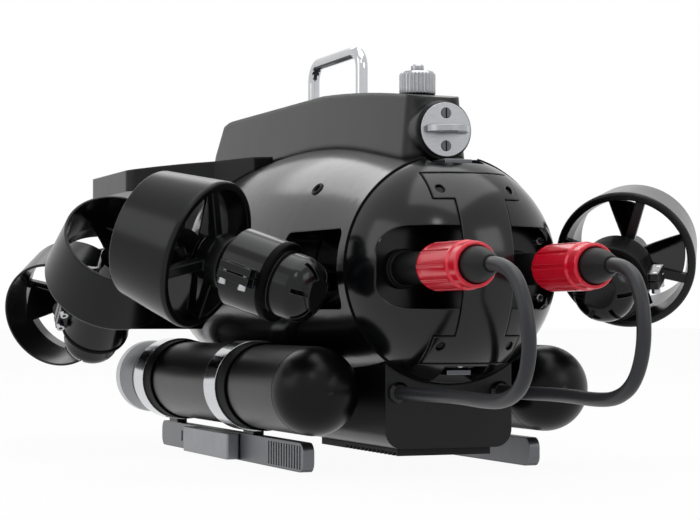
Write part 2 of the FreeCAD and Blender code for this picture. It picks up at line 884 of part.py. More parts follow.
# Camera on its tilting trunnions
pivotY = dim("pivotY")
yokeIn = dim("yokeHalfGap")
yokeOut = yokeIn + dim("yokeThick")
yokeHalf = dim("yokeHalfHeight")
yokeForm = slab("yokeForm", "XY_Plane", [
    (-yokeOut, bulkheadFront), (yokeOut, bulkheadFront), (yokeOut, pivotY + yokeHalf),
    (yokeIn, pivotY + yokeHalf), (yokeIn, bulkheadFront + dim("yokeThick")),
    (-yokeIn, bulkheadFront + dim("yokeThick")), (-yokeIn, pivotY + yokeHalf), (-yokeOut, pivotY + yokeHalf),
], hullHeight - yokeHalf, hullHeight + yokeHalf)
trunnion = dim("trunnionRadius")
pivotHole = rodAt("pivotHole", trunnion + runningGap, yokeOut * 2, -yokeOut, pivotY, hullHeight, ALONG_X)
keep(cut("cameraYoke", yokeForm, pivotHole), "camera_yoke")
cameraHalf = dim("cameraHalfWidth")
drum = rodAt("drum", dim("cameraRadius"), cameraHalf * 2, -cameraHalf, pivotY, hullHeight, ALONG_X)
pins = rodAt("trunnions", trunnion, yokeOut * 2, -yokeOut, pivotY, hullHeight, ALONG_X)
lensRadius = dim("lensRadius")
lensReach = dim("lensReach")
barrel = rodAt("barrel", lensRadius, lensReach, 0, pivotY, hullHeight, ALONG_Y)
lensFloor = pivotY + lensReach - 5
lensBore = rodAt("lensBore", lensRadius - 2.5, asSize(9), 0, lensFloor, hullHeight, ALONG_Y)
keep(cut("cameraTilt", fuse("cameraForm", drum, pins, barrel), lensBore), "camera_tilt")
keep(rodAt("cameraLens", lensRadius - 2.6, asSize(3), 0, lensFloor, hullHeight, ALONG_Y), "camera_lens")

# Battery tubes, their bow caps, and the bands that hold them
keelHalf = dim("keelHalfWidth")
skidHeight = dim("skidHeight")
batteryRadius = dim("batteryRadius")
linerInner = batteryRadius + dim("linerGap")
linerOuter = linerInner + dim("linerThick")
bandOuter = linerOuter + dim("bandThick")
batteryZ = skidHeight + bandOuter + dim("batterySkidGap")
shoulderRadius = capRadius + dim("shoulderSwell")
apart = shoulderRadius + bandOuter + dim("batteryHullGap")
above = hullHeight + dim("shoulderRise") - batteryZ
batteryX = larger(reachAcross(apart, above), keelHalf + bandOuter + dim("batteryKeelGap"))
batteryBack = dim("batteryBackY")
batteryFront = dim("batteryFrontY")
groove = asSize(0.8)


def onBattery(name, corners):
    return hubbed(name, corners, -batteryX, batteryZ)


keep(pair("batteryTubes", onBattery("batteryTube", [
    (0, batteryBack - batteryRadius), (batteryRadius, batteryBack, batteryRadius),
    (batteryRadius - groove, batteryBack), (batteryRadius - groove, batteryBack + groove),
    (batteryRadius, batteryBack + groove), (batteryRadius, batteryFront), (0, batteryFront),
])), "battery_tubes")
lidFront = batteryFront + dim("batteryCapLength")
lidBack = lidFront - dim("batteryLidLength")
lidRound = dim("batteryLidRound")
recessRadius = batteryRadius * 0.62
keep(pair("batteryEndCaps", onBattery("batteryEndCap", [
    (0, batteryFront), (batteryRadius - groove, batteryFront), (batteryRadius - groove, batteryFront + 2),
    (batteryRadius, batteryFront + 2), (batteryRadius, lidBack - 1), (batteryRadius - groove, lidBack - 1),
    (batteryRadius - groove, lidBack), (batteryRadius, lidBack), (batteryRadius, lidFront - lidRound),
    (batteryRadius - lidRound, lidFront, lidRound), (recessRadius, lidFront),
    (recessRadius, lidFront - 5), (0, lidFront - 5),
])), "battery_end_caps")


def ringOn(name, inner, outer, middle, width):
    half = width / 2
    return onBattery(name, [(inner, middle - half), (outer, middle - half),
                            (outer, middle + half), (inner, middle + half)])


liners = []
bands = []
saddles = []
skidX = batteryX - dim("skidInset")
skidHalf = dim("skidThick") / 2
for end in ("fore", "aft"):
    bandY = dim(end + "BandY")
    shift = dim("bandShift")
    liners.append(ringOn(end + "Liner", linerInner, linerOuter, bandY - shift, dim("linerWidth")))
    bands.append(ringOn(end + "Band", linerOuter, bandOuter, bandY, dim("bandWidth")))
    half = dim("bandWidth") / 2 - 2
    clearance = rodAt(end + "SaddleRound", bandOuter + seatGap, half * 4, -batteryX, bandY - half * 2,
                      batteryZ, ALONG_Y)
    inner = boxAt(end + "SaddleBlock", -batteryX + bandOuter * 0.75, -(keelHalf + seatGap), bandY - half,
                  bandY + half, batteryZ - bandOuter * 0.53, batteryZ + bandOuter * 0.31)
    lower = boxAt(end + "HangerBlock", -(skidX + skidHalf), -(skidX - skidHalf), bandY - half,
                  bandY + half, skidHeight, batteryZ - bandOuter * 0.8)
    saddles.append(cut(end + "Saddles", group(end + "Blocks", inner, lower), clearance))
keep(pair("strapLiners", group("portLiners", *liners)), "strap_liners")
keep(pair("tubeStraps", group("portBands", *bands)), "tube_straps")
keep(pair("tubeSaddles", group("portSaddles", *saddles)), "tube_saddles")

# Skids, slotted near the bow and ribbed near the stern, with a ballast block outside each
skidBack = dim("skidBackY")
skidFront = dim("skidFrontY")
skidRound = dim("skidRound")
skid = slab("skid", "YZ_Plane", roundedBox(skidBack, skidFront, 0, skidHeight, skidRound),
            -(skidX + skidHalf), -(skidX - skidHalf))
for index in range(2):
    middle = dim("skidSlotY") + dim("skidSlotPitch") * (index - 0.5)
    halfSlot = dim("skidSlotWidth") / 2
    rise = dim("skidSlotHeight") / 2
    window = sketchOn(skid, "YZ_Plane", -(skidX + skidHalf))
    drawBox(window, middle - halfSlot, middle + halfSlot, skidHeight / 2 - rise, skidHeight / 2 + rise)
    pocket(skid, window, dim("skidThick") * 2, back=True)
ribs = sketchOn(skid, "YZ_Plane", -(skidX + skidHalf))
ribDepth = dim("skidRibDepth")
for index in range(int(dim("skidRibCount").value)):
    start = skidBack + dim("skidRibInset") + dim("skidRibPitch") * index
    drawBox(ribs, start, start + dim("skidRibPitch") * 0.45, asSize(2), skidHeight - 2)
pocket(skid, ribs, ribDepth, back=True)
keep(pair("skidRails", skid), "skid_rails")
ballastBack = dim("ballastBackY")
ballastX = skidX + skidHalf
ballast = slab("ballast", "XY_Plane", roundedBox(-(ballastX + dim("ballastThick")), -ballastX, ballastBack,
               ballastBack + dim("ballastLength"), asSize(1.5)), dim("ballastLift"), skidHeight - 0.6)
keep(pair("ballastBlocks", ballast), "ballast_blocks")

# Keel box, hollowed on top to the hull, with a ribbed rubber pad under its stern half
keelBottom = dim("keelBottom")
keelRound = dim("keelRound")
keelTop = hullHeight - seamRadius * 0.74
keelForm = slab("keelForm", "XZ_Plane", [
    (-keelHalf, keelTop), (-keelHalf, keelBottom + keelRound),
    (-(keelHalf - keelRound), keelBottom, keelRound), (keelHalf - keelRound, keelBottom),
    (keelHalf, keelBottom + keelRound, keelRound), (keelHalf, keelTop),
], dim("keelBackY"), dim("keelFrontY"))
capBall = ballAt("capBall", capRadius + fitGap, 0, capCentreY, hullHeight)
keep(cut("keelBox", keelForm, envelope, capBall), "keel")
padBack = dim("keelPadBackY")
padFront = dim("keelPadFrontY")
padBottom = keelBottom - dim("keelPadThick")
ribTop = padBottom + dim("keelRibDepth")
comb = [(padFront, keelBottom), (padBack, keelBottom)]
for index in range(int(dim("keelRibCount").value)):
    start = padBack + dim("keelRibPitch") * index
    stop = start + dim("keelRibWidth")
    comb += [(start, padBottom), (stop, padBottom), (stop, ribTop), (start + dim("keelRibPitch"), ribTop)]
comb += [(padBack + dim("keelRibPitch") * dim("keelRibCount"), padBottom), (padFront, padBottom)]
padHalf = keelHalf - keelRound
keep(slab("keelPad", "YZ_Plane", comb, -padHalf, padHalf), "keel_pad")

# Top fairing: an upright blade drawn in towards its top, cut to its side outline, with a boss astern
finHalf = dim("finHalfWidth")
finBack = dim("finBackY")
finFront = dim("finFrontY")
finFoot = hullHeight + dim("finFootRise")
finTopBack = hullHeight + dim("finBackRise")
finTopMid = hullHeight + dim("finMidRise")
finTopFront = hullHeight + dim("finFrontRise")
deckBottom = hullHeight + dim("deckBottomRise")
deckEdge = deckBottom + dim("deckEdgeThick")
deckTop = deckEdge + dim("deckCrown")
finRound = dim("finBackRound")
finBody = newBody("finForm")
plan = draw(sketchOn(finBody, "XY_Plane", finFoot), roundedBox(-finHalf, finHalf, finBack, finFront + 32,
                                                               finRound))
pad(finBody, plan, finTopFront + 12 - finFoot, draft=-dim("finDraft"))
finTop = slab("finTop", "YZ_Plane", [
    (finBack - 5, finTopBack - 12), (finBack + 7, finTopBack - 2, asSize(-16)),
    (finBack + 16, finTopBack), (dim("finMidY"), finTopMid, asSize(-1900)),
    (dim("finBrowY"), finTopFront), (finFront, finTopFront - 3, asSize(-90)),
    (finFront + 23, deckTop + 4), (finFront + 40, deckTop - 8), (finFront + 40, finTopFront + beyond),
    (finBack - 5, finTopFront + beyond),
], -finHalf * 2, finHalf * 2)
tetherZ = hullHeight + dim("tetherRise")
tetherBack = dim("tetherBackY")
boss = rodAt("tetherBoss", dim("tetherBossRadius"), dim("tetherBossReach"), 0, tetherBack, tetherZ, ALONG_Y)
bowClear = rodAt("bowClear", noseRadius + fitGap, capRadius * 2, 0, noseY - 1, hullHeight, ALONG_Y)
finSeat = cut("finSeat", envelope, notch)
finSolid = cut("finSolid", fuse("finWithBoss", finBody, boss), finTop, finSeat, bowClear)
handleRadius = dim("handleRadius")
handleTop = finTopMid + dim("handleRise")
handleFoot = finTopMid - dim("handleSink")
handleSpan = [("Front", dim("handleFrontY")), ("Back", dim("handleBackY"))]
sockets = []
for end, y in handleSpan:
    sockets.append(rodAt("handleSocket" + end, handleRadius + seatGap, handleTop - handleFoot, 0, y,
                         handleFoot))
ventY = dim("ventY")
ventFoot = finTopBack - 4
ventBase = dim("ventBaseRadius")
ventRoom = finTopFront - ventFoot + beyond
sockets.append(rodAt("ventSocket", ventBase + seatGap, ventRoom, 0, ventY, ventFoot))
ventTop = ventFoot + dim("ventBaseHeight") + 4
sockets.append(rodAt("ventRecess", dim("ventCapRadius") + dim("ventRecessGap"), ventRoom, 0, ventY, ventTop))
tetherUp = dim("tetherScrewZ")
screwRadius = dim("tetherScrewRadius")
plateScrews = []
for index, up in enumerate((-1, 1), start=1):
    z = tetherZ + tetherUp * up
    sockets.append(rodAt(f"plateSocket{index}", screwRadius * 0.6 + 0.15, asSize(12), 0, tetherBack - 1, z,
                         ALONG_Y))
keep(cut("topFairing", finSolid, *sockets), "top_fairing")

# Lift handle: one bent rod
handle = newBody("liftHandle")
bend = dim("handleBend")
barFront = dim("handleFrontY")
barBack = dim("handleBackY")
spine = sketchOn(handle, "YZ_Plane")
track = [(barFront, handleFoot), (barFront, handleTop - bend), (barFront - bend, handleTop, bend),
         (barBack + bend, handleTop), (barBack, handleTop - bend, bend), (barBack, handleFoot)]
drawTrack(spine, track)
rodSection = drawCircle(sketchOn(handle, "XY_Plane", handleFoot), 0, barFront, handleRadius)
doc.recompute()
pipe = handle.newObject("PartDesign::AdditivePipe", "handlePipe")
pipe.Profile = rodSection
pipe.Spine = (spine, [f"Edge{number}" for number in range(1, len(track))])
keep(handle, "lift_handle")

# Vent: a knurled cap that screws onto a stem
stemRadius = dim("ventStemRadius")
capFloor = ventTop + dim("ventCapGap")
capTop = capFloor + dim("ventCapHeight")
stemTop = capTop - 4
ventStem = turned("ventBase", "XZ_Plane", [
    (0, ventFoot), (ventBase, ventFoot), (ventBase, ventTop - 1), (ventBase - 1, ventTop),
    (stemRadius, ventTop), (stemRadius, stemTop), (0, stemTop),
])
place(ventStem, 0, ventY, 0)
keep(ventStem, "vent_base")
ventRadius = dim("ventCapRadius")
nub = dim("ventNubRadius")
nubTop = capTop + dim("ventNubHeight")
ventCap = turned("ventCap", "XZ_Plane", [
    (stemRadius + runningGap, capFloor), (ventRadius - 1, capFloor), (ventRadius, capFloor + 1),
    (ventRadius, capTop - 2), (ventRadius - 1.5, capTop), (nub, capTop), (nub, nubTop - 1),
    (nub - 1, nubTop), (0, nubTop), (0, stemTop + fitGap), (stemRadius + runningGap, stemTop + fitGap),
])
knurl = pocket(ventCap, drawCircle(sketchOn(ventCap, "XY_Plane", capTop), ventRadius + 0.25, 0,
                                   dim("knurlRadius")), dim("ventCapHeight") * 2, both=True)
repeatRound(ventCap, knurl, (axisOf(ventCap, "Z_Axis"), [""]), dim("knurlCount"))
place(ventCap, 0, ventY, 0)
keep(ventCap, "vent_cap")

# Tether plate with a pad eye, held by two countersunk screws
plateFront = tetherBack
plateThick = dim("tetherThick")
plateFace = plateFront - plateThick
tetherDisc = newBody("tetherDisc")
disc = drawCircle(sketchOn(tetherDisc, "XZ_Plane", -plateFace), 0, tetherZ, dim("tetherRadius"))
pad(tetherDisc, disc, plateThick, back=True)
eyeHalf = dim("eyeThick") / 2
reach = dim("eyeReach")
tongue = sketchOn(tetherDisc, "XY_Plane", tetherZ - eyeHalf)
draw(tongue, [(-reach, plateFace + 1), (-reach, plateFace), (0, plateFace - reach, reach),
              (reach, plateFace, reach), (reach, plateFace + 1)])
pad(tetherDisc, tongue, dim("eyeThick"))
eye = drawCircle(sketchOn(tetherDisc, "XY_Plane", tetherZ), 0, plateFace - reach * 0.48,
                 dim("eyeHoleRadius"))
pocket(tetherDisc, eye, dim("eyeThick") * 3, both=True)
screwDepth = asSize(1.6)
plateHoles = []
for index, up in enumerate((-1, 1), start=1):
    z = tetherZ + tetherUp * up
    plateHoles.append(rodAt(f"plateHole{index}", screwRadius * 0.6 + 0.15, plateThick * 3, 0,
                            plateFace - plateThick, z, ALONG_Y))
    plateHoles.append(rodAt(f"plateSink{index}", screwRadius + 0.15, screwDepth + 5, 0, plateFace - 5, z,
                            ALONG_Y))
    stem = rodAt(f"plateStem{index}", screwRadius * 0.6, plateThick + 4, 0, plateFace, z, ALONG_Y)
    head = rodAt(f"plateHead{index}", screwRadius, screwDepth + 0.4, 0, plateFace - 0.4, z, ALONG_Y)
    slotCut = boxAt(f"plateSlot{index}", asSize(-0.5), asSize(0.5), plateFace - 2, plateFace + 0.6,
                    z - screwRadius * 2, z + screwRadius * 2)
    plateScrews.append(cut(f"plateScrew{index}", fuse(f"plateScrewForm{index}", stem, head), slotCut))
keep(cut("tetherPlate", tetherDisc, *plateHoles), "tether_plate")
keep(group("coverScrews", *strapScrews, *plateScrews, domeScrews), "cover_screws")

# Bow deck: a crowned board cut to its plan, the hull and the top fairing
deckHalf = dim("deckHalfWidth")
deckFront = dim("deckFrontY")
crown = dim("deckCrown")
crownRadius = (deckHalf * deckHalf + crown * crown) / (crown * 2)
board = slab("deckBoard", "XZ_Plane", [
    (-deckHalf, deckBottom), (deckHalf, deckBottom), (deckHalf, deckEdge),
    (0, deckTop, crownRadius), (-deckHalf, deckEdge, crownRadius),
], dim("deckBackY") - 10, deckFront + 5)
deckRound = dim("deckRound")
shoulder = dim("deckShoulderY")
swept = dim("deckSwept")
sweptY = shoulder - 24
deckPlan = slab("deckPlan", "XY_Plane", [
    (deckHalf, deckFront - deckRound), (deckHalf - deckRound, deckFront, deckRound),
    (deckRound - deckHalf, deckFront), (-deckHalf, deckFront - deckRound, deckRound),
    (-deckHalf, shoulder + 8), (8 - deckHalf, shoulder - 1, asSize(12)), (-swept, sweptY),
    (-dim("deckBackHalfWidth"), dim("deckBackY")), (dim("deckBackHalfWidth"), dim("deckBackY")),
    (swept, sweptY), (deckHalf - 8, shoulder - 1), (deckHalf, shoulder + 8, asSize(12)),
], deckBottom - 5, deckTop + 5)
deckSolid = cut("deckSolid", common("deckForm", board, deckPlan), envelope)
finClear = boxAt("finClear", -(finHalf + seatGap), finHalf + seatGap, finBack, finFront + 33, finFoot - 5,
                 finTopFront)
keep(cut("frontDeck", deckSolid, finClear), "front_deck")

# Lamps hung from the bow deck
lampX = dim("lampX")
lampZ = deckBottom - dim("lampDrop")
lampRadius = dim("lampRadius")
lampBack = dim("lampBackY")
lampFront = dim("lampFrontY")
glassRadius = dim("lampLensRadius")
housing = hubbed("lampHousing", [
    (0, lampBack), (lampRadius - 4, lampBack), (lampRadius, lampBack + 4, asSize(4)),
    (lampRadius, lampFront), (glassRadius, lampFront), (glassRadius, lampFront - 5), (0, lampFront - 5),
], -lampX, lampZ)
footHalf = dim("lampFootHalfWidth")
lampFoot = boxAt("lampFoot", -(lampX + footHalf), -(lampX - footHalf), lampBack + 6, lampFront - 6,
                 lampZ + lampRadius - 4, deckBottom)
keep(pair("lamps", fuse("lampBody", housing, lampFoot)), "lamps")
keep(pair("lampLenses", rodAt("lampGlass", glassRadius - seatGap, dim("lampLensThick"), -lampX,
                              lampFront - 5, lampZ, ALONG_Y)), "lamp_lenses")

# Ducted thrusters.  Each is drawn with its axis upright: the pod-side rim of the duct lies in the plane z = 0,
# the pod is above it and the open mouth below.
rimRadius = dim("rimRadius")
rimRound = dim("rimRound")
rimBore = dim("rimBore")
rimDepth = dim("rimDepth")
mouthRadius = dim("mouthRadius")
ductLength = dim("ductLength")
ductBore = dim("ductBore")
lipRound = dim("lipRound")
hubRadius = dim("hubRadius")
hubFront = dim("hubFront")
hubTop = dim("hubDepth")
discRadius = dim("hubDiscRadius")
discTop = hubTop + dim("hubDiscThick")
shaftRadius = dim("shaftRadius")
shaftReach = dim("shaftReach")
hubBore = shaftRadius + 1.5
clampFront = dim("clampFront")
clampBack = clampFront + dim("clampLength")
motorRadius = dim("motorRadius")


def upright(body, corners, cut=False):
    return turn(body, draw(sketchOn(body, "XZ_Plane"), corners), cut)


def ductBody(name):
    body = newBody(name)
    upright(body, [
        (rimBore, 0), (rimRadius - rimRound, 0), (rimRadius, -rimRound, -rimRound),
        (mouthRadius, lipRound - ductLength), (mouthRadius - lipRound, -ductLength, -lipRound),
        (ductBore, -ductLength), (ductBore, -rimDepth * 2),
    ])
    upright(body, [
        (hubBore, hubFront), (hubRadius - 1, hubFront), (hubRadius, hubFront + 1, asSize(1)),
        (hubRadius, hubTop), (discRadius - 1, hubTop), (discRadius, hubTop + 1),
        (discRadius, discTop - 3), (discRadius - 3, discTop), (hubBore, discTop),
    ])
    strutRoot = hubRadius - 3
    strutTip = (rimRadius + rimBore) / 2
    strutSketch = draw(sketchOn(body, "XZ_Plane"), [
        (strutRoot, hubFront + 1), (strutTip, -rimDepth * 0.8), (strutTip, -rimRound * 0.4),
        (strutRoot, dim("strutDepth") - 1),
    ])
    strut = pad(body, strutSketch, dim("strutWidth"), both=True)
    repeatRound(body, strut, (axisOf(body, "Z_Axis"), [""]), dim("strutCount"))
    return body


def motorBody(name):
    body = newBody(name)
    bandRadius = dim("bandRadius")
    bandTop = clampBack + dim("bandLength")
    noseRadius = dim("motorNoseRadius")
    noseTop = bandTop + dim("motorNoseLength")
    noseRound = dim("motorNoseRound")
    upright(body, [
        (0, -shaftReach), (shaftRadius, -shaftReach), (shaftRadius, discTop), (motorRadius - 2, discTop),
        (motorRadius, discTop + 2), (motorRadius, clampBack), (bandRadius, clampBack),
        (bandRadius, bandTop), (noseRadius, bandTop), (noseRadius, noseTop - noseRound),
        (noseRadius - noseRound, noseTop, noseRound), (0, noseTop),
    ])
    slotDepth = dim("noseSlotDepth")
    slotSketch = drawBox(sketchOn(body, "XZ_Plane"), noseRadius - noseRound * 0.8, noseRadius + 5,
                         noseTop - slotDepth * 2, noseTop + 5)
    slotCut = pocket(body, slotSketch, dim("noseSlotWidth"), both=True)
    repeatRound(body, slotCut, (axisOf(body, "Z_Axis"), [""]), dim("noseSlotCount"))
    return body


def propellerBody(name):
    body = newBody(name)
    propRadius = dim("propHubRadius")
    hubHigh = -dim("propHubBack")
    hubLow = hubHigh - dim("propHubLength")
    boreLow = hubHigh - dim("propBoreDepth")
    bore = shaftRadius + runningGap
    upright(body, [
        (bore, hubHigh), (propRadius, hubHigh), (propRadius, hubLow),
        (propRadius * 0.55, hubLow - dim("propNoseLength"), -propRadius * 1.3),
        (0, hubLow - dim("propNoseLength")), (0, boreLow), (bore, boreLow),
    ])
    sections = []
    for place_ in ("root", "mid", "tip"):
        station = dim("blade" + place_.capitalize() + "Station")
        halfChord = dim(place_ + "Chord") / 2
        pitch = dim(place_ + "Pitch")
        thick = dim(place_ + "Thick")
        back = thick * 0.85
        face = thick * 0.15
        backRadius = (halfChord * halfChord + back * back) / (back * 2)
        faceRadius = (halfChord * halfChord + face * face) / (face * 2)
        y = halfChord * cosine(pitch)
        z = halfChord * sine(pitch)
        reach = -dim("bladeReach")
        sketch = sketchOn(body, "YZ_Plane", station)
        draw(sketch, [(-y, reach - z, backRadius), (y, reach + z, faceRadius)])
        sections.append(sketch)
    blade = body.newObject("PartDesign::AdditiveLoft", name + "Blade")
    blade.Profile = sections[0]
    blade.Sections = sections[1:]
    repeatRound(body, blade, (axisOf(body, "Z_Axis"), [""]), dim("bladeCount"))
    tip = dim("bladeTipRadius")
    upright(body, [(tip, -ductLength), (tip + 20, -ductLength), (tip + 20, beyond), (tip, beyond)], cut=True)
    return body


def armBody(name, underside):
    # The split clamp round the motor, with its arm towards the hull and its lug away from it
    body = newBody(name)
    outer = dim("clampRadius")
    bore = motorRadius + dim("clampGap")
    height = dim("clampLength")
    ring = pad(body, drawCircle(sketchOn(body, "XY_Plane", clampFront), 0, 0, outer), height)
    edge = (height - dim("armWidth")) / 2
    low = clampFront + edge
    armHalf = dim("armHalfHeight")
    armReach = capRadius * 1.7
    armSketch = drawBox(sketchOn(body, "XY_Plane", low), outer * 0.7, armReach, -armHalf, armHalf)
    pad(body, armSketch, dim("armWidth"))
    lugHalf = dim("lugHalfHeight")
    lugReach = dim("lugReach")
    lugSketch = drawBox(sketchOn(body, "XY_Plane", low), -lugReach, -outer * 0.8, -lugHalf, lugHalf)
    pad(body, lugSketch, dim("armWidth"))
    pocket(body, drawCircle(sketchOn(body, "XY_Plane"), 0, 0, bore), both=True)
    slit = dim("clampSlit") / 2
    pocket(body, drawBox(sketchOn(body, "XY_Plane"), -lugReach * 1.5, asSize(-bore.value * 0.9), -slit, slit),
           both=True)
    holes = sketchOn(body, "XZ_Plane")
    for x, z in lugScrewPlaces():
        drawCircle(holes, x, z, dim("clampScrewRadius") + 0.15)
    pocket(body, holes, both=True)
    return body


def lugScrewPlaces():
    x = -(dim("lugReach") + dim("clampRadius") + 1.5) / 2
    inset = dim("clampScrewInset")
    return [(x, clampFront + inset), (x, clampBack - inset)]


def clampScrewBody(name, underside):
    # Two screws through the lug, with their heads on its underside
    body = newBody(name)
    lugHalf = dim("lugHalfHeight")
    headHeight = dim("clampScrewHeadHeight")
    up = underside > 0
    for x, z in lugScrewPlaces():
        stem = drawCircle(sketchOn(body, "XZ_Plane", -lugHalf * underside), x, z, dim("clampScrewRadius"))
        pad(body, stem, lugHalf * 2, back=not up)
        head = drawCircle(sketchOn(body, "XZ_Plane", -lugHalf * underside), x, z, dim("clampScrewHead"))
        pad(body, head, headHeight, back=up)
        top = sketchOn(body, "XZ_Plane", -(lugHalf + headHeight) * underside)
        pocket(body, draw(top, hexagon(dim("clampScrewHead") * 0.5, x, z)), headHeight * 0.5, back=up)
    return body


def frameAt(station, toe, tilt, ahead):
    # The thruster's axis runs from mouth to pod, in towards the hull by toe and down or up by tilt
    toe = math.radians(toe.value)
    tilt = math.radians(tilt.value)
    flat = math.cos(tilt)
    axis = Vector(flat * math.sin(toe), flat * math.cos(toe) * ahead, math.sin(tilt))
    inward = Vector(math.cos(toe), -math.sin(toe) * ahead, 0)
    side = axis.cross(inward)
    height = hullHeight + dim(station + "Rise")
    centre = Vector(dim(station + "X").value, dim(station + "Y").value, height.value)
    return centre, Rotation(inward, side, axis, "ZXY")


toeAngle = dim("toeAngle")
tiltAngle = dim("tiltAngle")
stations = [
    ("stern", frameAt("stern", toeAngle, -tiltAngle, -1), -1),
    ("midship", frameAt("midship", asSize(0), -dim("midshipTilt"), 1), 1),
    ("bow", frameAt("bow", toeAngle, tiltAngle, 1), 1),
]
tubeForm = rodAt("tubeForm", tubeRadius + seatGap, boreLength, 0, seamY - beyond, hullHeight, ALONG_Y)
allClampScrews = []
for station, (centre, rotation), underside in stations:
    roll = Rotation(Vector(0, 0, 1), dim("strutRoll").value)
    for maker, word, turned_ in ((ductBody, "duct", roll), (motorBody, "motor", Rotation()),
                                 (propellerBody, "propeller", Rotation())):
        body = maker(word + station.capitalize())
        body.Placement = Placement(centre, rotation.multiply(turned_))
        keep(body, f"{word}_{station}_port")
        keep(mirrored(body.Name + "Starboard", body), f"{word}_{station}_starboard")
    arm = armBody("arm" + station.capitalize(), underside)
    arm.Placement = Placement(centre, rotation)
    limit = tubeForm if station == "stern" else envelope
    fitted = cut("fitted" + arm.Name, arm, limit, bowClear)
    keep(pair(station + "Arms", fitted), station + "_thruster_arms")
    screws = clampScrewBody("clampScrews" + station.capitalize(), underside)
    screws.Placement = Placement(centre, rotation)
    allClampScrews += [screws, mirrored(screws.Name + "Starboard", screws)]
keep(group("clampScrews", *allClampScrews), "clamp_screws")

# Connectors in the stern plate
connectorX = dim("connectorX")
connectorZ = hullHeight - dim("connectorDrop")
receptacleBack = dim("receptacleBackY")
socketRadius = dim("receptacleRadius")
flangeBack = plateBack - dim("flangeThick")
connector = hubbed("bulkheadConnector", [
    (0, receptacleBack), (socketRadius - 1, receptacleBack), (socketRadius, receptacleBack + 1),
    (socketRadius, flangeBack - 2), (socketRadius + 1.5, flangeBack - 2), (socketRadius + 1.5, flangeBack),
    (dim("flangeRadius"), flangeBack), (dim("flangeRadius"), plateBack), (0, plateBack),
], -connectorX, connectorZ)
keep(pair("bulkheadConnectors", connector), "bulkhead_connectors")
plugRadius = dim("plugRadius")
plugBack = dim("plugBackY")
tailRadius = dim("plugTailRadius")
tailLength = dim("plugTailLength")
tailDrop = plugRadius - tailRadius
tailRound = (tailDrop * tailDrop + tailLength * tailLength) / (tailDrop * 2)
sleeveFront = dim("sleeveFrontY")
sleeveBack = dim("sleeveBackY")
sleeveRadius = dim("sleeveRadius")
sleeveBore = dim("sleeveBore")
sleeveLip = dim("sleeveLipLength")
sleeveRound = dim("sleeveRound")


def sleeveBody(name, side):
    body = turned(name, "XY_Plane", [
        (plugRadius + runningGap, sleeveBack + 1), (plugRadius + 0.8, sleeveBack), (sleeveRadius - 2.5, sleeveBack),
        (sleeveRadius - 1, sleeveBack + 1.5, asSize(1.5)), (sleeveRadius - 1, sleeveBack + sleeveLip),
        (sleeveRadius, sleeveBack + sleeveLip + 1.5), (sleeveRadius, sleeveFront - sleeveRound * 2),
        (sleeveBore + 1.2, sleeveFront, asSize(16)), (sleeveBore, sleeveFront),
        (sleeveBore, sleeveBack + sleeveLip), (plugRadius + runningGap, sleeveBack + sleeveLip),
    ])
    ribSketch = drawCircle(sketchOn(body, "XZ_Plane", -(sleeveBack + sleeveLip + 4)), sleeveRadius + 0.4, 0,
                           dim("sleeveRibWidth") / 2)
    rib = pocket(body, ribSketch, sleeveFront - sleeveBack)
    repeatRound(body, rib, (axisOf(body, "Y_Axis"), [""]), dim("sleeveRibCount"))
    place(body, connectorX * side, 0, connectorZ)
    return body


def plugBody(name, side):
    return hubbed(name, [
        (0, plugBack), (tailRadius, plugBack), (plugRadius, plugBack + tailLength, tailRound),
        (plugRadius, receptacleBack), (0, receptacleBack),
    ], connectorX * side, connectorZ)


# Keel glands and the two cables that run from the plugs down and ahead to them
cableRadius = dim("cableRadius")
glandX = dim("glandX")
glandZ = dim("glandZ")
keelBack = dim("keelBackY")
glandBack = keelBack - dim("glandLength")
gland = hubbed("cableGland", [
    (0, glandBack), (dim("glandRadius") - 2, glandBack), (dim("glandRadius"), glandBack + 2),
    (dim("glandRadius"), keelBack), (0, keelBack),
], -glandX, glandZ)
keep(pair("cableGlands", gland), "cable_glands")


def cordAlong(name, points, radius):
    # A round cord of straight runs joined by tangent arcs
    edges = []
    start = points[0]
    bends = []
    for before, corner, after in zip(points, points[1:], points[2:]):
        into = corner - before
        out = after - corner
        trim = 0.45 * min(into.Length, out.Length)
        half = into.getAngle(out) / 2
        bends.append(trim / math.tan(half))
        into.normalize()
        out.normalize()
        inside = (out - into).normalize()
        middle = corner + inside * (bends[-1] / math.cos(half) - bends[-1])
        first = corner - into * trim
        last = corner + out * trim
        edges.append(Part.LineSegment(start, first).toShape())
        edges.append(Part.Arc(first, middle, last).toShape())
        start = last
    edges.append(Part.LineSegment(start, points[-1]).toShape())
    route = Part.Wire(edges)
    section = Part.Wire([Part.Circle(points[0], points[1] - points[0], radius).toShape()])
    cord = doc.addObject("Part::Feature", name)
    cord.Shape = route.makePipeShell([section], True, True)
    share = cord.Shape.Volume / (math.pi * radius ** 2 * route.Length)
    print(f"{name}: length {route.Length:.0f} mm, radii {[round(bend, 1) for bend in bends]}, "
          f"volume over section times length {share:.4f}")
    return cord


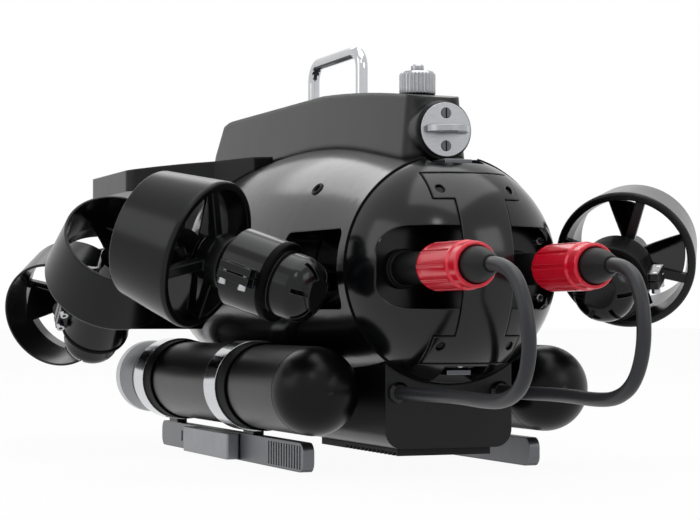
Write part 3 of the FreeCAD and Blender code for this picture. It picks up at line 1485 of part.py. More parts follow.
# Each corner of a cable: how far it lies astern of the plug, and how far below the connector
CABLE_ROUTE = [(0, 0), (11, 0), (30.5, 7.5), (41.5, 26.5), (43.5, 50), (34, 70), (14.5, 79.5), (-11.5, 81.5),
               (-53.5, 79.8), (-109.5, 80.5)]
for side, word, slack in ((-1, "left", 1.05), (1, "right", 0.96)):
    plug = keep(plugBody("plug" + word.capitalize(), side), "plug_" + word)
    sleeve = keep(sleeveBody("sleeve" + word.capitalize(), side), "locking_sleeve_" + word)
    points = []
    drop = connectorZ.value - glandZ.value
    span = connectorX.value - glandX.value
    for aft, down in CABLE_ROUTE:
        stretch = slack if aft > 11 else 1
        fall = down / 80.5 * drop
        x = side * (connectorX.value - span * min(fall / drop, 1))
        points.append(Vector(x, plugBack.value - aft * stretch, connectorZ.value - fall))
    points.append(Vector(side * glandX.value, glandBack.value, glandZ.value))
    keep(cordAlong("cable" + word.capitalize(), points, cableRadius.value), "cable_" + word)

doc.recompute()
faults = []
for item in doc.Objects:
    if "Invalid" in item.State or "Error" in item.State:
        faults.append(item.Name)
for piece in pieces:
    if piece.Shape.isNull() or not piece.Shape.isValid():
        faults.append(piece.Label)
if faults:
    raise SystemExit("Not built: " + ", ".join(faults))
os.makedirs("parts", exist_ok=True)
for piece in pieces:
    piece.Shape.exportStep(os.path.join("parts", piece.Label + ".step"))
    box = piece.Shape.BoundBox
    low = f"{box.XMin:.1f} {box.YMin:.1f} {box.ZMin:.1f}"
    high = f"{box.XMax:.1f} {box.YMax:.1f} {box.ZMax:.1f}"
    print(f"{piece.Label}: {low} to {high}, {len(piece.Shape.Solids)} solids, {piece.Shape.Volume:.0f} mm3")
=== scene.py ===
import bpy
import bmesh
import json
import math
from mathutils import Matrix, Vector
from mathutils.bvhtree import BVHTree


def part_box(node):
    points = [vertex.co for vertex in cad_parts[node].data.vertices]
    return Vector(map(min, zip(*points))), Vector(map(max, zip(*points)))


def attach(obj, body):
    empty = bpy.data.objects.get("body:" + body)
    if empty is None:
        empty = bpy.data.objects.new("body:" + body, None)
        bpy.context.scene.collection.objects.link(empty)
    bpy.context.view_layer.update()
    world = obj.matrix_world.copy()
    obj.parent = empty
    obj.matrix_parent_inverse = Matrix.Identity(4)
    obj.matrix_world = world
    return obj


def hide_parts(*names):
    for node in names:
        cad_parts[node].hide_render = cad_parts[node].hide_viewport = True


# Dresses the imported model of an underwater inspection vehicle. The scene is in metres, +Y ahead and +Z up.
# Sizes in the dictionaries are in millimetres and angles in degrees.
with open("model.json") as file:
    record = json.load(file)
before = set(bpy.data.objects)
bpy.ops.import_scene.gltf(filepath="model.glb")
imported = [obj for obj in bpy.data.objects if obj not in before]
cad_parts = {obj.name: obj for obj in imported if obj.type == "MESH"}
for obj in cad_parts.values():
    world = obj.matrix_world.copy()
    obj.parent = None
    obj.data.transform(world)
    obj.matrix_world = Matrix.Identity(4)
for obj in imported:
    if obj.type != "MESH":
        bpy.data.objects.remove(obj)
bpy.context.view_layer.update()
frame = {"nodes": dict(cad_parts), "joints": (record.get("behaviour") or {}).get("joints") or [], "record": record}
nodes = frame["nodes"]
millimetre = 0.001
print("frame loaded:", len(nodes), "nodes")


# shared helpers
def linear(hexColour):
    # an sRGB colour as the linear one that a shader takes
    channels = []
    for start in (1, 3, 5):
        value = int(hexColour[start:start + 2], 16) / 255
        channels.append(value / 12.92 if value <= 0.04045 else ((value + 0.055) / 1.055) ** 2.4)
    return (*channels, 1.0)


def addNode(tree, kind, feeds=None, **settings):
    # feeds give each input socket its value, or the output that drives it; settings are the node's own
    node = tree.nodes.new(kind)
    for name, value in settings.items():
        setattr(node, name, value)
    for socket, source in (feeds or {}).items():
        if isinstance(source, bpy.types.NodeSocket):
            tree.links.new(source, node.inputs[socket])
        else:
            node.inputs[socket].default_value = source
    return node


factorIn, firstIn, secondIn, colourOut = 0, 6, 7, 2  # where a colour Mix node has its sockets


def newMaterial(name):
    material = bpy.data.materials.new(name)
    material.use_nodes = True
    material.node_tree.nodes.clear()
    return material, material.node_tree


def objectSpace(tree, stretch=(1, 1, 1), turn=(0, 0, 0)):
    # the piece's own coordinates; a stretch well below 1 draws the pattern out into lines along that axis
    place = addNode(tree, "ShaderNodeTexCoord")
    mapping = addNode(tree, "ShaderNodeMapping",
                      {"Vector": place.outputs["Object"], "Scale": stretch, "Rotation": turn})
    return mapping.outputs["Vector"]


def perMetre(size):
    # the scale at which a noise has marks of this size
    return 1 / (size * millimetre)


# materials
plasticIor = 1.49
# an edge wears where its rounded normal leans from the face's own: the cosines where wear starts and is full
arris = {"samples": 4, "start": 0.97, "full": 0.80}
# rub marks of sand and hands on gloss: few, thin and long, drawn several times as wide as real ones. Their
# turn is in radians, and they show where the noise climbs from start to full.
hairline = {"perMetre": 900.0, "stretch": (1, 0.06, 1), "turn": (0.5, 0.3, 0.8), "start": 0.66, "full": 0.72}
# painted shade in the recesses of metal, where ambient occlusion finds them: hollows close from open to hidden
recessShade = {"colour": "#0b0b0c", "samples": 6, "open": 0.85, "hidden": 0.35}


def softEdges(tree, radius):
    # rounds the look of sharp arrises and gives a mask of where they are
    bevel = addNode(tree, "ShaderNodeBevel", {"Radius": radius}, samples=arris["samples"])
    flat = addNode(tree, "ShaderNodeNewGeometry")
    facing = addNode(tree, "ShaderNodeVectorMath", {0: bevel.outputs["Normal"], 1: flat.outputs["Normal"]},
                     operation="DOT_PRODUCT")
    mask = addNode(tree, "ShaderNodeMapRange", {"Value": facing.outputs["Value"], "From Min": arris["start"],
                                                "From Max": arris["full"]})
    return bevel.outputs["Normal"], mask.outputs["Result"]


def mouldedPlastic(name, values):
    # a moulded skin: even colour, a slow peel under a fine grain, a little haze and soft rub marks
    material, tree = newMaterial(name)
    space = objectSpace(tree)
    noise = {}
    for layer, detail, roughness in (("peel", 2.0, 0.5), ("grain", 3.0, 0.6), ("haze", 5.0, 0.62)):
        noise[layer] = addNode(tree, "ShaderNodeTexNoise", {
            "Vector": space, "Scale": perMetre(values[layer + "Size"]), "Detail": detail,
            "Roughness": roughness}).outputs["Fac"]
    streaks = addNode(tree, "ShaderNodeTexNoise", {
        "Vector": objectSpace(tree, hairline["stretch"], hairline["turn"]), "Scale": hairline["perMetre"],
        "Detail": 1.0, "Roughness": 0.4})
    scratches = addNode(tree, "ShaderNodeMapRange", {
        "Value": streaks.outputs["Fac"], "From Min": hairline["start"], "From Max": hairline["full"],
        "To Max": values["hairlines"]})
    normal, edge = softEdges(tree, values["edge"] * millimetre)
    clouded = addNode(tree, "ShaderNodeMix", {
        factorIn: noise["haze"], firstIn: linear(values["colour"]), secondIn: linear(values["shade"])},
        data_type="RGBA")
    wear = addNode(tree, "ShaderNodeMapRange", {"Value": noise["haze"], "To Max": values["wear"]})
    rubbed = addNode(tree, "ShaderNodeMath", {0: edge, 1: wear.outputs["Result"]}, operation="MULTIPLY")
    colour = addNode(tree, "ShaderNodeMix", {
        factorIn: rubbed.outputs[0], firstIn: clouded.outputs[colourOut], secondIn: linear(values["rub"])},
        data_type="RGBA")
    low, high = values["roughness"]
    sheen = addNode(tree, "ShaderNodeMapRange", {"Value": noise["haze"], "To Min": low, "To Max": high})
    rough = addNode(tree, "ShaderNodeMath", {0: sheen.outputs["Result"], 1: scratches.outputs["Result"]},
                    operation="ADD")
    coarse = addNode(tree, "ShaderNodeBump", {
        "Height": noise["peel"], "Normal": normal, "Strength": 0.6,
        "Distance": values["peelDepth"] * millimetre})
    fine = addNode(tree, "ShaderNodeBump", {
        "Height": noise["grain"], "Normal": coarse.outputs["Normal"], "Strength": 0.6,
        "Distance": values["grainDepth"] * millimetre})
    shader = addNode(tree, "ShaderNodeBsdfPrincipled", {
        "Base Color": colour.outputs[colourOut], "Roughness": rough.outputs[0],
        "Normal": fine.outputs["Normal"], "IOR": plasticIor, "Specular IOR Level": values["gloss"]})
    addNode(tree, "ShaderNodeOutputMaterial", {"Surface": shader.outputs[0]})
    return material


def turnedMetal(name, values):
    # worked metal: fine parallel lines, or an even grain where the stretch is even
    material, tree = newMaterial(name)
    lines = addNode(tree, "ShaderNodeTexNoise", {
        "Vector": objectSpace(tree, values["stretch"]), "Scale": perMetre(values["lineWidth"]),
        "Detail": 2.0, "Roughness": 0.55}).outputs["Fac"]
    blotch = addNode(tree, "ShaderNodeTexNoise", {
        "Vector": objectSpace(tree), "Scale": perMetre(values["hazeSize"]), "Detail": 4.0, "Roughness": 0.6})
    normal, edge = softEdges(tree, values["edge"] * millimetre)
    lineShare = 0.6  # of the tone; the blotches have the rest
    cloud = addNode(tree, "ShaderNodeMapRange", {"Value": blotch.outputs["Fac"], "To Max": 1 - lineShare})
    tone = addNode(tree, "ShaderNodeMath", {0: lines, 1: lineShare, 2: cloud.outputs["Result"]},
                   operation="MULTIPLY_ADD").outputs[0]
    colour = addNode(tree, "ShaderNodeMix", {
        factorIn: tone, firstIn: linear(values["shade"]), secondIn: linear(values["colour"])},
        data_type="RGBA")
    if "zone" in values:
        # past a step along one axis the metal has another tone, with a soft change between the two
        start, zoneColour = values["zone"]
        softening = 0.3
        along = addNode(tree, "ShaderNodeSeparateXYZ", {"Vector": objectSpace(tree)})
        past = addNode(tree, "ShaderNodeMapRange", {
            "Value": along.outputs[values["zoneAxis"]], "From Min": (start - softening) * millimetre,
            "From Max": (start + softening) * millimetre})
        uneven = addNode(tree, "ShaderNodeMapRange", {"Value": tone, "To Min": 0.75, "To Max": 1.0})
        shown = addNode(tree, "ShaderNodeMath", {0: past.outputs["Result"], 1: uneven.outputs["Result"]},
                        operation="MULTIPLY")
        colour = addNode(tree, "ShaderNodeMix", {
            factorIn: shown.outputs[0], firstIn: colour.outputs[colourOut], secondIn: linear(zoneColour)},
            data_type="RGBA")
    rubbed = addNode(tree, "ShaderNodeMapRange", {"Value": edge, "To Max": values["wear"]})
    colour = addNode(tree, "ShaderNodeMix", {
        factorIn: rubbed.outputs["Result"], firstIn: colour.outputs[colourOut],
        secondIn: linear(values["rub"])}, data_type="RGBA")
    # painted shade: the colour darkens towards the recess colour in the hollows that ambient occlusion finds
    if values["paintedShade"] > 0:
        hollow = addNode(tree, "ShaderNodeAmbientOcclusion", {"Distance": values["shadeReach"] * millimetre},
                         samples=recessShade["samples"])
        shadeAmount = addNode(tree, "ShaderNodeMapRange", {
            "Value": hollow.outputs["AO"], "From Min": recessShade["open"], "From Max": recessShade["hidden"],
            "To Max": values["paintedShade"]})
        colour = addNode(tree, "ShaderNodeMix", {
            factorIn: shadeAmount.outputs["Result"], firstIn: colour.outputs[colourOut],
            secondIn: linear(recessShade["colour"])}, data_type="RGBA")
    low, high = values["roughness"]
    rough = addNode(tree, "ShaderNodeMapRange", {"Value": tone, "To Min": high, "To Max": low})
    bump = addNode(tree, "ShaderNodeBump", {
        "Height": lines, "Normal": normal, "Strength": 0.5, "Distance": values["lineDepth"] * millimetre})
    shader = addNode(tree, "ShaderNodeBsdfPrincipled", {
        "Base Color": colour.outputs[colourOut], "Roughness": rough.outputs["Result"],
        "Normal": bump.outputs["Normal"], "Metallic": values["metallic"],
        "Specular IOR Level": values["gloss"]})
    addNode(tree, "ShaderNodeOutputMaterial", {"Surface": shader.outputs[0]})
    return material


def clearAcrylic(name, values):
    # clear, with a breath of haze and a faint tint
    material, tree = newMaterial(name)
    haze = addNode(tree, "ShaderNodeTexNoise", {
        "Vector": objectSpace(tree), "Scale": values["perMetre"], "Detail": 4.0})
    low, high = values["roughness"]
    rough = addNode(tree, "ShaderNodeMapRange", {"Value": haze.outputs["Fac"], "To Min": low, "To Max": high})
    shader = addNode(tree, "ShaderNodeBsdfPrincipled", {
        "Base Color": linear(values["colour"]), "Roughness": rough.outputs["Result"], "IOR": plasticIor,
        "Transmission Weight": values["clear"]})
    addNode(tree, "ShaderNodeOutputMaterial", {"Surface": shader.outputs[0]})
    return material


# ABS from a polished mould: deep black with sharp reflections that waver over a 5 mm peel, and hairlines in
# the highlights. A polished mould's own grain can't be seen, so its 0.5 mm one is drawn coarser and faint.
glossShell = {"colour": "#07080a", "shade": "#0d0e10", "rub": "#3c3d40", "wear": 0.5,
              "roughness": (0.13, 0.20), "hairlines": 0.04, "peelSize": 5.0, "peelDepth": 0.006,
              "grainSize": 0.5, "grainDepth": 0.001, "hazeSize": 30.0, "edge": 1.5, "gloss": 0.36}
# ABS from a spark-eroded mould: black with broad soft highlights. Its 0.1 mm grain is drawn at 0.5 mm.
satinShell = dict(glossShell, colour="#0b0c0d", shade="#101113", roughness=(0.27, 0.36), hairlines=0.0,
                  grainDepth=0.006, peelDepth=0.004, edge=2.5, rub="#2c2d2f", gloss=0.24)
# the same on the top fairing, whose edges are rounder
finShell = dict(satinShell, edge=5.0)
# glass-filled nylon, moulded: duller than the hull, in highlights that its grain breaks. That grain, about
# 0.15 mm, is drawn at 0.7 mm.
matteDuct = dict(glossShell, colour="#08090a", shade="#0d0e0f", roughness=(0.19, 0.28), grainSize=0.7,
                 grainDepth=0.008, peelDepth=0.003, hairlines=0.03, gloss=0.24, edge=1.8)
# nitrile rubber, moulded: an even dull black with no sharp reflection. The texture of its mould, about
# 0.1 mm, is drawn at 0.4 mm.
blackRubber = dict(glossShell, colour="#0a0a0b", shade="#111112", roughness=(0.46, 0.62), grainSize=0.4,
                   grainDepth=0.02, peelDepth=0.002, rub="#242425", hairlines=0.0, gloss=0.25)
# polyurethane, extruded: charcoal with a silky highlight along the cable
cableJacket = dict(blackRubber, colour="#222326", shade="#2b2c2f", roughness=(0.34, 0.46), rub="#4a4b4e",
                   gloss=0.35)
# EPDM strip, extruded: the blackest thing on the vehicle, with almost no shine; its colour and shine are turned
# down from the moulded rubber's as painted shade, for a strip that lies in shadow
shadedLinerRubber = dict(blackRubber, colour="#020202", shade="#050505", gloss=0.05)
# nylon from a polished mould: a wet-looking blade with a thin bright edge
bladeNylon = dict(glossShell, roughness=(0.10, 0.18), gloss=0.5, grainDepth=0.0, edge=0.8)
# aluminium, machined and hard-anodised black: a clean hard gloss, rubbed to grey on the arrises. The
# marks of the tool, under 0.1 mm, are drawn as an even grain of 0.4 mm.
blackAnodised = {"colour": "#101114", "shade": "#060708", "rub": "#66676b", "wear": 0.35,
                 "roughness": (0.12, 0.22), "stretch": (1, 1, 1), "lineWidth": 0.4, "lineDepth": 0.002,
                 "hazeSize": 22.0, "metallic": 0.35, "edge": 0.8, "gloss": 0.4, "paintedShade": 0.0,
                 "shadeReach": 3.0}
# aluminium tube, drawn, linished round its girth and hard-anodised: satin black, with long soft highlights
batteryShell = dict(blackAnodised, colour="#0a0b0c", shade="#050506", roughness=(0.26, 0.36), metallic=0.1,
                    stretch=(0.04, 1, 0.04), wear=0.2, edge=1.0, gloss=0.17)
# aluminium, bead-blasted and clear-anodised: an even mid grey with a frosty sheen. The pits of the blast,
# about 0.08 mm, are drawn at 0.35 mm.
greyAnodised = dict(blackAnodised, colour="#9a9b9f", shade="#77787c", rub="#c5c6ca", roughness=(0.30, 0.46),
                    lineWidth=0.35, lineDepth=0.01, metallic=0.8, paintedShade=0.6)
# aluminium rail, milled and anodised: a darker grey, with painted shade between its ribs
skidRail = dict(greyAnodised, colour="#77787c", shade="#58595d", rub="#a8a9ad", paintedShade=0.9)
# aluminium cap, turned and anodised: pewter grey, and pale ahead of the step near its front
pewter = dict(greyAnodised, colour="#6f7175", shade="#585a5e", rub="#c9cacd", metallic=0.9, paintedShade=0.4,
              zone=(195.0, "#c9cacd"), zoneAxis="Y")
# stainless steel, brushed from side to side: a bright grey whose highlights spread across the lines. The
# lines of a 180 grit belt, under 0.1 mm, are drawn 0.35 mm wide, as on the steels that follow.
brushedSteel = {"colour": "#bcbdc0", "shade": "#85878b", "rub": "#ededee", "wear": 0.5,
                "roughness": (0.16, 0.30), "stretch": (0.05, 1, 1), "lineWidth": 0.35, "lineDepth": 0.006,
                "hazeSize": 18.0, "metallic": 1.0, "edge": 0.5, "gloss": 0.5, "paintedShade": 0.85,
                "shadeReach": 2.5}
# stainless steel strip, rolled bright: pale and nearly a mirror, with lines that run round the tube
bandSteel = dict(brushedSteel, colour="#d3d4d7", shade="#a5a7ab", stretch=(0.04, 1, 0.04),
                 roughness=(0.08, 0.16), paintedShade=0.3)
# stainless steel, straight-knurled: bright crests over grooves darkened by painted shade
knurledSteel = dict(brushedSteel, stretch=(1, 1, 0.1), roughness=(0.14, 0.26), paintedShade=1.0, shadeReach=5.0)
# spring steel, stamped and tumbled: a dull dark grey
latchSteel = dict(brushedSteel, colour="#6c6d71", shade="#4b4c50", roughness=(0.22, 0.36))
# stainless steel rod, polished: a mirror that shows its surroundings as long streaks
polishedSteel = dict(brushedSteel, colour="#cfd0d2", shade="#a8aaae", roughness=(0.07, 0.12),
                     lineDepth=0.0001, edge=0.1, stretch=(1, 1, 1), lineWidth=0.8, paintedShade=0.0)
# stainless steel screws, turned: small bright heads with an even sheen
screwSteel = dict(brushedSteel, colour="#c8c9cd", shade="#96989c", stretch=(1, 1, 1))
# steel screws, black-oxidised: near black, and worn to bare grey on the top of the ball
blackScrew = dict(screwSteel, colour="#101113", shade="#08090a", rub="#3c3d40", roughness=(0.25, 0.38),
                  metallic=0.8, zone=(205.0, "#5b5c60"), zoneAxis="Z")
# aluminium, turned, fluted and dyed red in the anodising bath: a saturated red under a clear hard highlight,
# paler on the crests. The lines run along the sleeve and are drawn 0.5 mm wide, about five times the real.
redAnodised = {"colour": "#ea1332", "shade": "#c20e28", "rub": "#f08a96", "wear": 0.5,
               "roughness": (0.14, 0.24), "stretch": (1, 0.06, 1), "lineWidth": 0.5, "lineDepth": 0.004,
               "hazeSize": 12.0, "metallic": 0.12, "edge": 0.6, "gloss": 0.5, "paintedShade": 0.35,
               "shadeReach": 2.0}
# acrylic, cast and polished: water-clear, with smears that only a highlight shows
domeAcrylic = {"colour": "#f2f7f8", "roughness": (0.0, 0.05), "clear": 1.0, "perMetre": 60.0}

materials = {
    "gloss_shell": mouldedPlastic("PolishedMouldedAbs", glossShell),
    "satin_shell": mouldedPlastic("SatinMouldedAbs", satinShell),
    "matte_duct": mouldedPlastic("GrainedMouldedNylon", matteDuct),
    "black_rubber": mouldedPlastic("MouldedRubber", blackRubber),
    "cable_jacket": mouldedPlastic("ExtrudedPolyurethane", cableJacket),
    "anodised_black": turnedMetal("HardAnodisedAluminium", blackAnodised),
    "anodised_grey": turnedMetal("BlastedAnodisedAluminium", greyAnodised),
    "pewter_cap": turnedMetal("TurnedAnodisedAluminium", pewter),
    "brushed_stainless": turnedMetal("BrushedStainlessSteel", brushedSteel),
    "polished_stainless": turnedMetal("PolishedStainlessSteel", polishedSteel),
    "screw_steel": turnedMetal("TurnedScrewSteel", screwSteel),
    "red_anodised": turnedMetal("RedAnodisedAluminium", redAnodised),
    "clear_acrylic": clearAcrylic("CastAcrylic", domeAcrylic),
}
# nodes whose finish is not that of the rest of their slot
finishOf = {
    "top_fairing": mouldedPlastic("SatinMouldedFinAbs", finShell),
    "battery_tubes": turnedMetal("DrawnHardAnodisedTube", batteryShell),
    # the liners' rubber is darkened as painted shade
    "strap_liners": mouldedPlastic("ShadedExtrudedEpdmLiner", shadedLinerRubber),
    "tube_straps": turnedMetal("RolledStainlessBand", bandSteel),
    "skid_rails": turnedMetal("MilledAnodisedRail", skidRail),
    "cover_screws": turnedMetal("BlackOxideScrew", blackScrew),
    "cap_latches": turnedMetal("StampedStainlessLatch", latchSteel),
    "vent_cap": turnedMetal("KnurledStainlessCap", knurledSteel),
}
propellerFinish = mouldedPlastic("PolishedMouldedNylonBlade", bladeNylon)
finishOf.update({name: propellerFinish for name in nodes if name.startswith("propeller_")})
slotOf = {part["node"]: part["material_slot"] for part in frame["record"]["subparts"]}
for name, node in nodes.items():
    node.data.materials.clear()
    node.data.materials.append(finishOf.get(name, materials[slotOf[name]]))
print("materials on", len(nodes), "nodes")


# cables
# The route leaves the plug level, turns down and comes back under it to the gland. Each corner says how far
# astern of the plug and how far below the connector it lies; slack lengthens one side's loop astern.
cableRoute = {
    "radius": 4.4, "plugBack": -358.0, "glandBack": -216.0, "connectorX": 40.0, "glandX": 36.5,
    "connectorZ": 134.5, "glandZ": 54.0, "level": 11, "slack": {"left": 1.05, "right": 0.96},
    "corners": [(0, 0), (11, 0), (30.5, 7.5), (41.5, 26.5), (43.5, 50), (34, 70), (14.5, 79.5), (-11.5, 81.5),
                (-53.5, 79.8), (-109.5, 80.5)],
    "stepsPerCorner": 12, "roundness": 6,
}


def cableCurve(name, side, slack, values):
    # the finished curve, the points along its middle, and its length
    drop = values["connectorZ"] - values["glandZ"]
    drawnDrop = values["corners"][-1][1]
    points = []
    for aft, down in values["corners"]:
        stretch = slack if aft > values["level"] else 1
        fall = down / drawnDrop * drop
        x = side * (values["connectorX"] - (values["connectorX"] - values["glandX"]) * min(fall / drop, 1))
        points.append((x, values["plugBack"] - aft * stretch, values["connectorZ"] - fall))
    points.append((side * values["glandX"], values["glandBack"], values["glandZ"]))
    curve = bpy.data.curves.new(name, "CURVE")
    curve.dimensions = "3D"
    spline = curve.splines.new("NURBS")
    spline.points.add(len(points) - 1)
    for point, place in zip(spline.points, points):
        point.co = (*(Vector(place) * millimetre), 1.0)
    spline.order_u = 3  # quadratic, so the curve keeps near its corners
    spline.use_endpoint_u = True
    spline.resolution_u = values["stepsPerCorner"]
    curve.resolution_u = values["stepsPerCorner"]
    route = bpy.data.objects.new(name, curve)
    bpy.context.scene.collection.objects.link(route)
    bpy.context.view_layer.update()
    line = bpy.data.meshes.new_from_object(route.evaluated_get(bpy.context.evaluated_depsgraph_get()))
    path = [vertex.co.copy() for vertex in line.vertices]
    bpy.data.meshes.remove(line)
    length = sum((after - before).length for before, after in zip(path, path[1:]))
    curve.bevel_depth = values["radius"] * millimetre
    curve.bevel_resolution = values["roundness"]
    curve.use_fill_caps = True
    return route, path, length


for word, side in (("left", -1), ("right", 1)):
    cable, path, length = cableCurve("dressed_cable_" + word, side, cableRoute["slack"][word], cableRoute)
    cable.data.materials.append(materials["cable_jacket"])
    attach(cable, "vehicle")
    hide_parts("cable_" + word)
    print("cable", word, round(length, 4), "m")


# geometry nodes
def geometryTree(name, labels, sizes):
    # a tree with one named input for each of these sizes
    tree = bpy.data.node_groups.new(name, "GeometryNodeTree")
    tree.interface.new_socket("Geometry", in_out="INPUT", socket_type="NodeSocketGeometry")
    tree.interface.new_socket("Geometry", in_out="OUTPUT", socket_type="NodeSocketGeometry")
    for label in labels:
        socket = tree.interface.new_socket(label, in_out="INPUT", socket_type="NodeSocketFloat")
        socket.default_value = sizes[label] * millimetre
    return tree, addNode(tree, "NodeGroupInput"), addNode(tree, "NodeGroupOutput")


def closeTree(tree, shape, material, result):
    # every tree ends as real, smooth faces in one material
    real = addNode(tree, "GeometryNodeRealizeInstances", {"Geometry": shape})
    smooth = addNode(tree, "GeometryNodeSetShadeSmooth", {"Geometry": real.outputs[0]})
    finish = addNode(tree, "GeometryNodeSetMaterial", {"Geometry": smooth.outputs[0], "Material": material})
    tree.links.new(finish.outputs[0], result.inputs[0])


def bakeTree(name, tree, sizes, points, edges=(), axes=None):
    # runs the tree on a few points or runs, and leaves a plain mesh
    start = bpy.data.meshes.new(name + "_start")
    start.from_pydata([tuple(point) for point in points], list(edges), [])
    if axes:
        start.attributes.new("axis", "FLOAT_VECTOR", "POINT").data.foreach_set(
            "vector", [value for axis in axes for value in axis])
    piece = bpy.data.objects.new(name, start)
    bpy.context.scene.collection.objects.link(piece)
    modifier = piece.modifiers.new("nodes", "NODES")
    modifier.node_group = tree
    for item in tree.interface.items_tree:
        if item.item_type == "SOCKET" and item.in_out == "INPUT" and item.name in sizes:
            modifier[item.identifier] = sizes[item.name] * millimetre
    bpy.context.view_layer.update()
    made = bpy.data.meshes.new_from_object(piece.evaluated_get(bpy.context.evaluated_depsgraph_get()))
    piece.modifiers.clear()
    piece.data = made
    bpy.data.meshes.remove(start)
    print("made", name, len(made.polygons), "faces")
    return piece


def ovalProfile(tree, given, steps):
    # the section of a seal: half sunk in its seat, so it shows as a low bead
    circle = addNode(tree, "GeometryNodeCurvePrimitiveCircle", {"Resolution": steps, "Radius": 1.0})
    scale = addNode(tree, "ShaderNodeCombineXYZ", {
        "X": given.outputs["Half Height"], "Y": given.outputs["Half Width"], "Z": 1.0})
    return addNode(tree, "GeometryNodeTransform",
                   {"Geometry": circle.outputs["Curve"], "Scale": scale.outputs[0]}).outputs[0]


def ringTree(name, material, sizes):
    # one ring on each point, square to the point's axis
    tree, given, result = geometryTree(name, ("Radius", "Half Width", "Half Height"), sizes)
    hoop = addNode(tree, "GeometryNodeCurvePrimitiveCircle",
                   {"Radius": given.outputs["Radius"], "Resolution": sizes["steps"]})
    upright = addNode(tree, "GeometryNodeSetCurveNormal", {"Curve": hoop.outputs["Curve"]}, mode="Z_UP")
    sweep = addNode(tree, "GeometryNodeCurveToMesh", {
        "Curve": upright.outputs[0], "Profile Curve": ovalProfile(tree, given, sizes["profileSteps"])})
    axis = addNode(tree, "GeometryNodeInputNamedAttribute", {"Name": "axis"}, data_type="FLOAT_VECTOR")
    turn = addNode(tree, "FunctionNodeAlignRotationToVector", {"Vector": axis.outputs["Attribute"]}, axis="Z")
    spots = addNode(tree, "GeometryNodeMeshToPoints", {"Mesh": given.outputs["Geometry"]})
    rings = addNode(tree, "GeometryNodeInstanceOnPoints", {
        "Points": spots.outputs["Points"], "Instance": sweep.outputs[0], "Rotation": turn.outputs[0]})
    closeTree(tree, rings.outputs["Instances"], material, result)
    return tree


def beadTree(name, material, sizes):
    # one bead along each run of edges
    tree, given, result = geometryTree(name, ("Half Width", "Half Height"), sizes)
    runs = addNode(tree, "GeometryNodeMeshToCurve", {"Mesh": given.outputs["Geometry"]})
    sweep = addNode(tree, "GeometryNodeCurveToMesh", {
        "Curve": runs.outputs[0], "Profile Curve": ovalProfile(tree, given, sizes["profileSteps"]),
        "Fill Caps": True})
    closeTree(tree, sweep.outputs[0], material, result)
    return tree


def rodTree(name, material, sizes):
    # a round rod along each run of edges, bent where the run has a corner
    tree, given, result = geometryTree(name, ("Rod Radius", "Bend Radius"), sizes)
    run = addNode(tree, "GeometryNodeMeshToCurve", {"Mesh": given.outputs["Geometry"]})
    bends = addNode(tree, "GeometryNodeFilletCurve", {
        "Curve": run.outputs[0], "Radius": given.outputs["Bend Radius"], "Count": sizes["bendSteps"]},
        mode="POLY")
    section = addNode(tree, "GeometryNodeCurvePrimitiveCircle",
                      {"Radius": given.outputs["Rod Radius"], "Resolution": sizes["roundSteps"]})
    rod = addNode(tree, "GeometryNodeCurveToMesh", {
        "Curve": bends.outputs[0], "Profile Curve": section.outputs["Curve"], "Fill Caps": True})
    closeTree(tree, rod.outputs[0], material, result)
    return tree


def addPiece(piece):
    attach(piece, "vehicle")


# the lift handle: one polished rod, bent twice, that stands for its plain solid
liftHandle = {"Rod Radius": 4.5, "Bend Radius": 14.0, "bendSteps": 20, "roundSteps": 40}
low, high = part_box("lift_handle")
inset = liftHandle["Rod Radius"] * millimetre
handlePoints = [(0, high[1] - inset, low[2]), (0, high[1] - inset, high[2] - inset),
                (0, low[1] + inset, high[2] - inset), (0, low[1] + inset, low[2])]
handlePiece = bakeTree("handle_rod", rodTree("bentRod", materials["polished_stainless"], liftHandle),
                       liftHandle, handlePoints, edges=[(0, 1), (1, 2), (2, 3)])
addPiece(handlePiece)
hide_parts("lift_handle")

# a rubber seal round each motor, between its clamp and its nose, so far along from the propeller's centre
podSeal = {"Radius": 25.4, "Half Width": 3.0, "Half Height": 1.1, "along": 55.8, "steps": 96,
           "profileSteps": 14}
spins = [joint for joint in frame["joints"] if joint["name"].startswith("spin_")]
sealAxes = [Vector(joint["axis"]) for joint in spins]
sealPlaces = [Vector(joint["pos_m"]) + axis * podSeal["along"] * millimetre
              for joint, axis in zip(spins, sealAxes)]
sealTree = ringTree("sealRings", finishOf["strap_liners"], podSeal)
addPiece(bakeTree("pod_seals", sealTree, podSeal, sealPlaces, axes=sealAxes))

# a black bead laid in the seam between the hull and its stern cap, as painted shade for the seam's dark gap; it
# stops at the latch notches
capSeamShade = {"Half Width": 1.4, "Half Height": 0.85, "seamRadius": 75.0, "seamY": -214.4, "centreZ": 135.0,
             "topNotch": 19.5, "lowNotch": 15.5, "steps": 90, "profileSteps": 12}
firstAngle = math.asin(capSeamShade["topNotch"] / capSeamShade["seamRadius"])
lastAngle = math.pi - math.asin(capSeamShade["lowNotch"] / capSeamShade["seamRadius"])
seamShadePoints, seamShadeEdges = [], []
for side in (-1, 1):
    for step in range(capSeamShade["steps"] + 1):
        angle = firstAngle + (lastAngle - firstAngle) * step / capSeamShade["steps"]
        place = (side * capSeamShade["seamRadius"] * math.sin(angle), capSeamShade["seamY"],
                 capSeamShade["centreZ"] + capSeamShade["seamRadius"] * math.cos(angle))
        if step:
            seamShadeEdges.append((len(seamShadePoints) - 1, len(seamShadePoints)))
        seamShadePoints.append(Vector(place) * millimetre)
seamShadeTree = beadTree("seamShadeBead", finishOf["strap_liners"], capSeamShade)
addPiece(bakeTree("cap_seam_shade", seamShadeTree, capSeamShade, seamShadePoints, edges=seamShadeEdges))
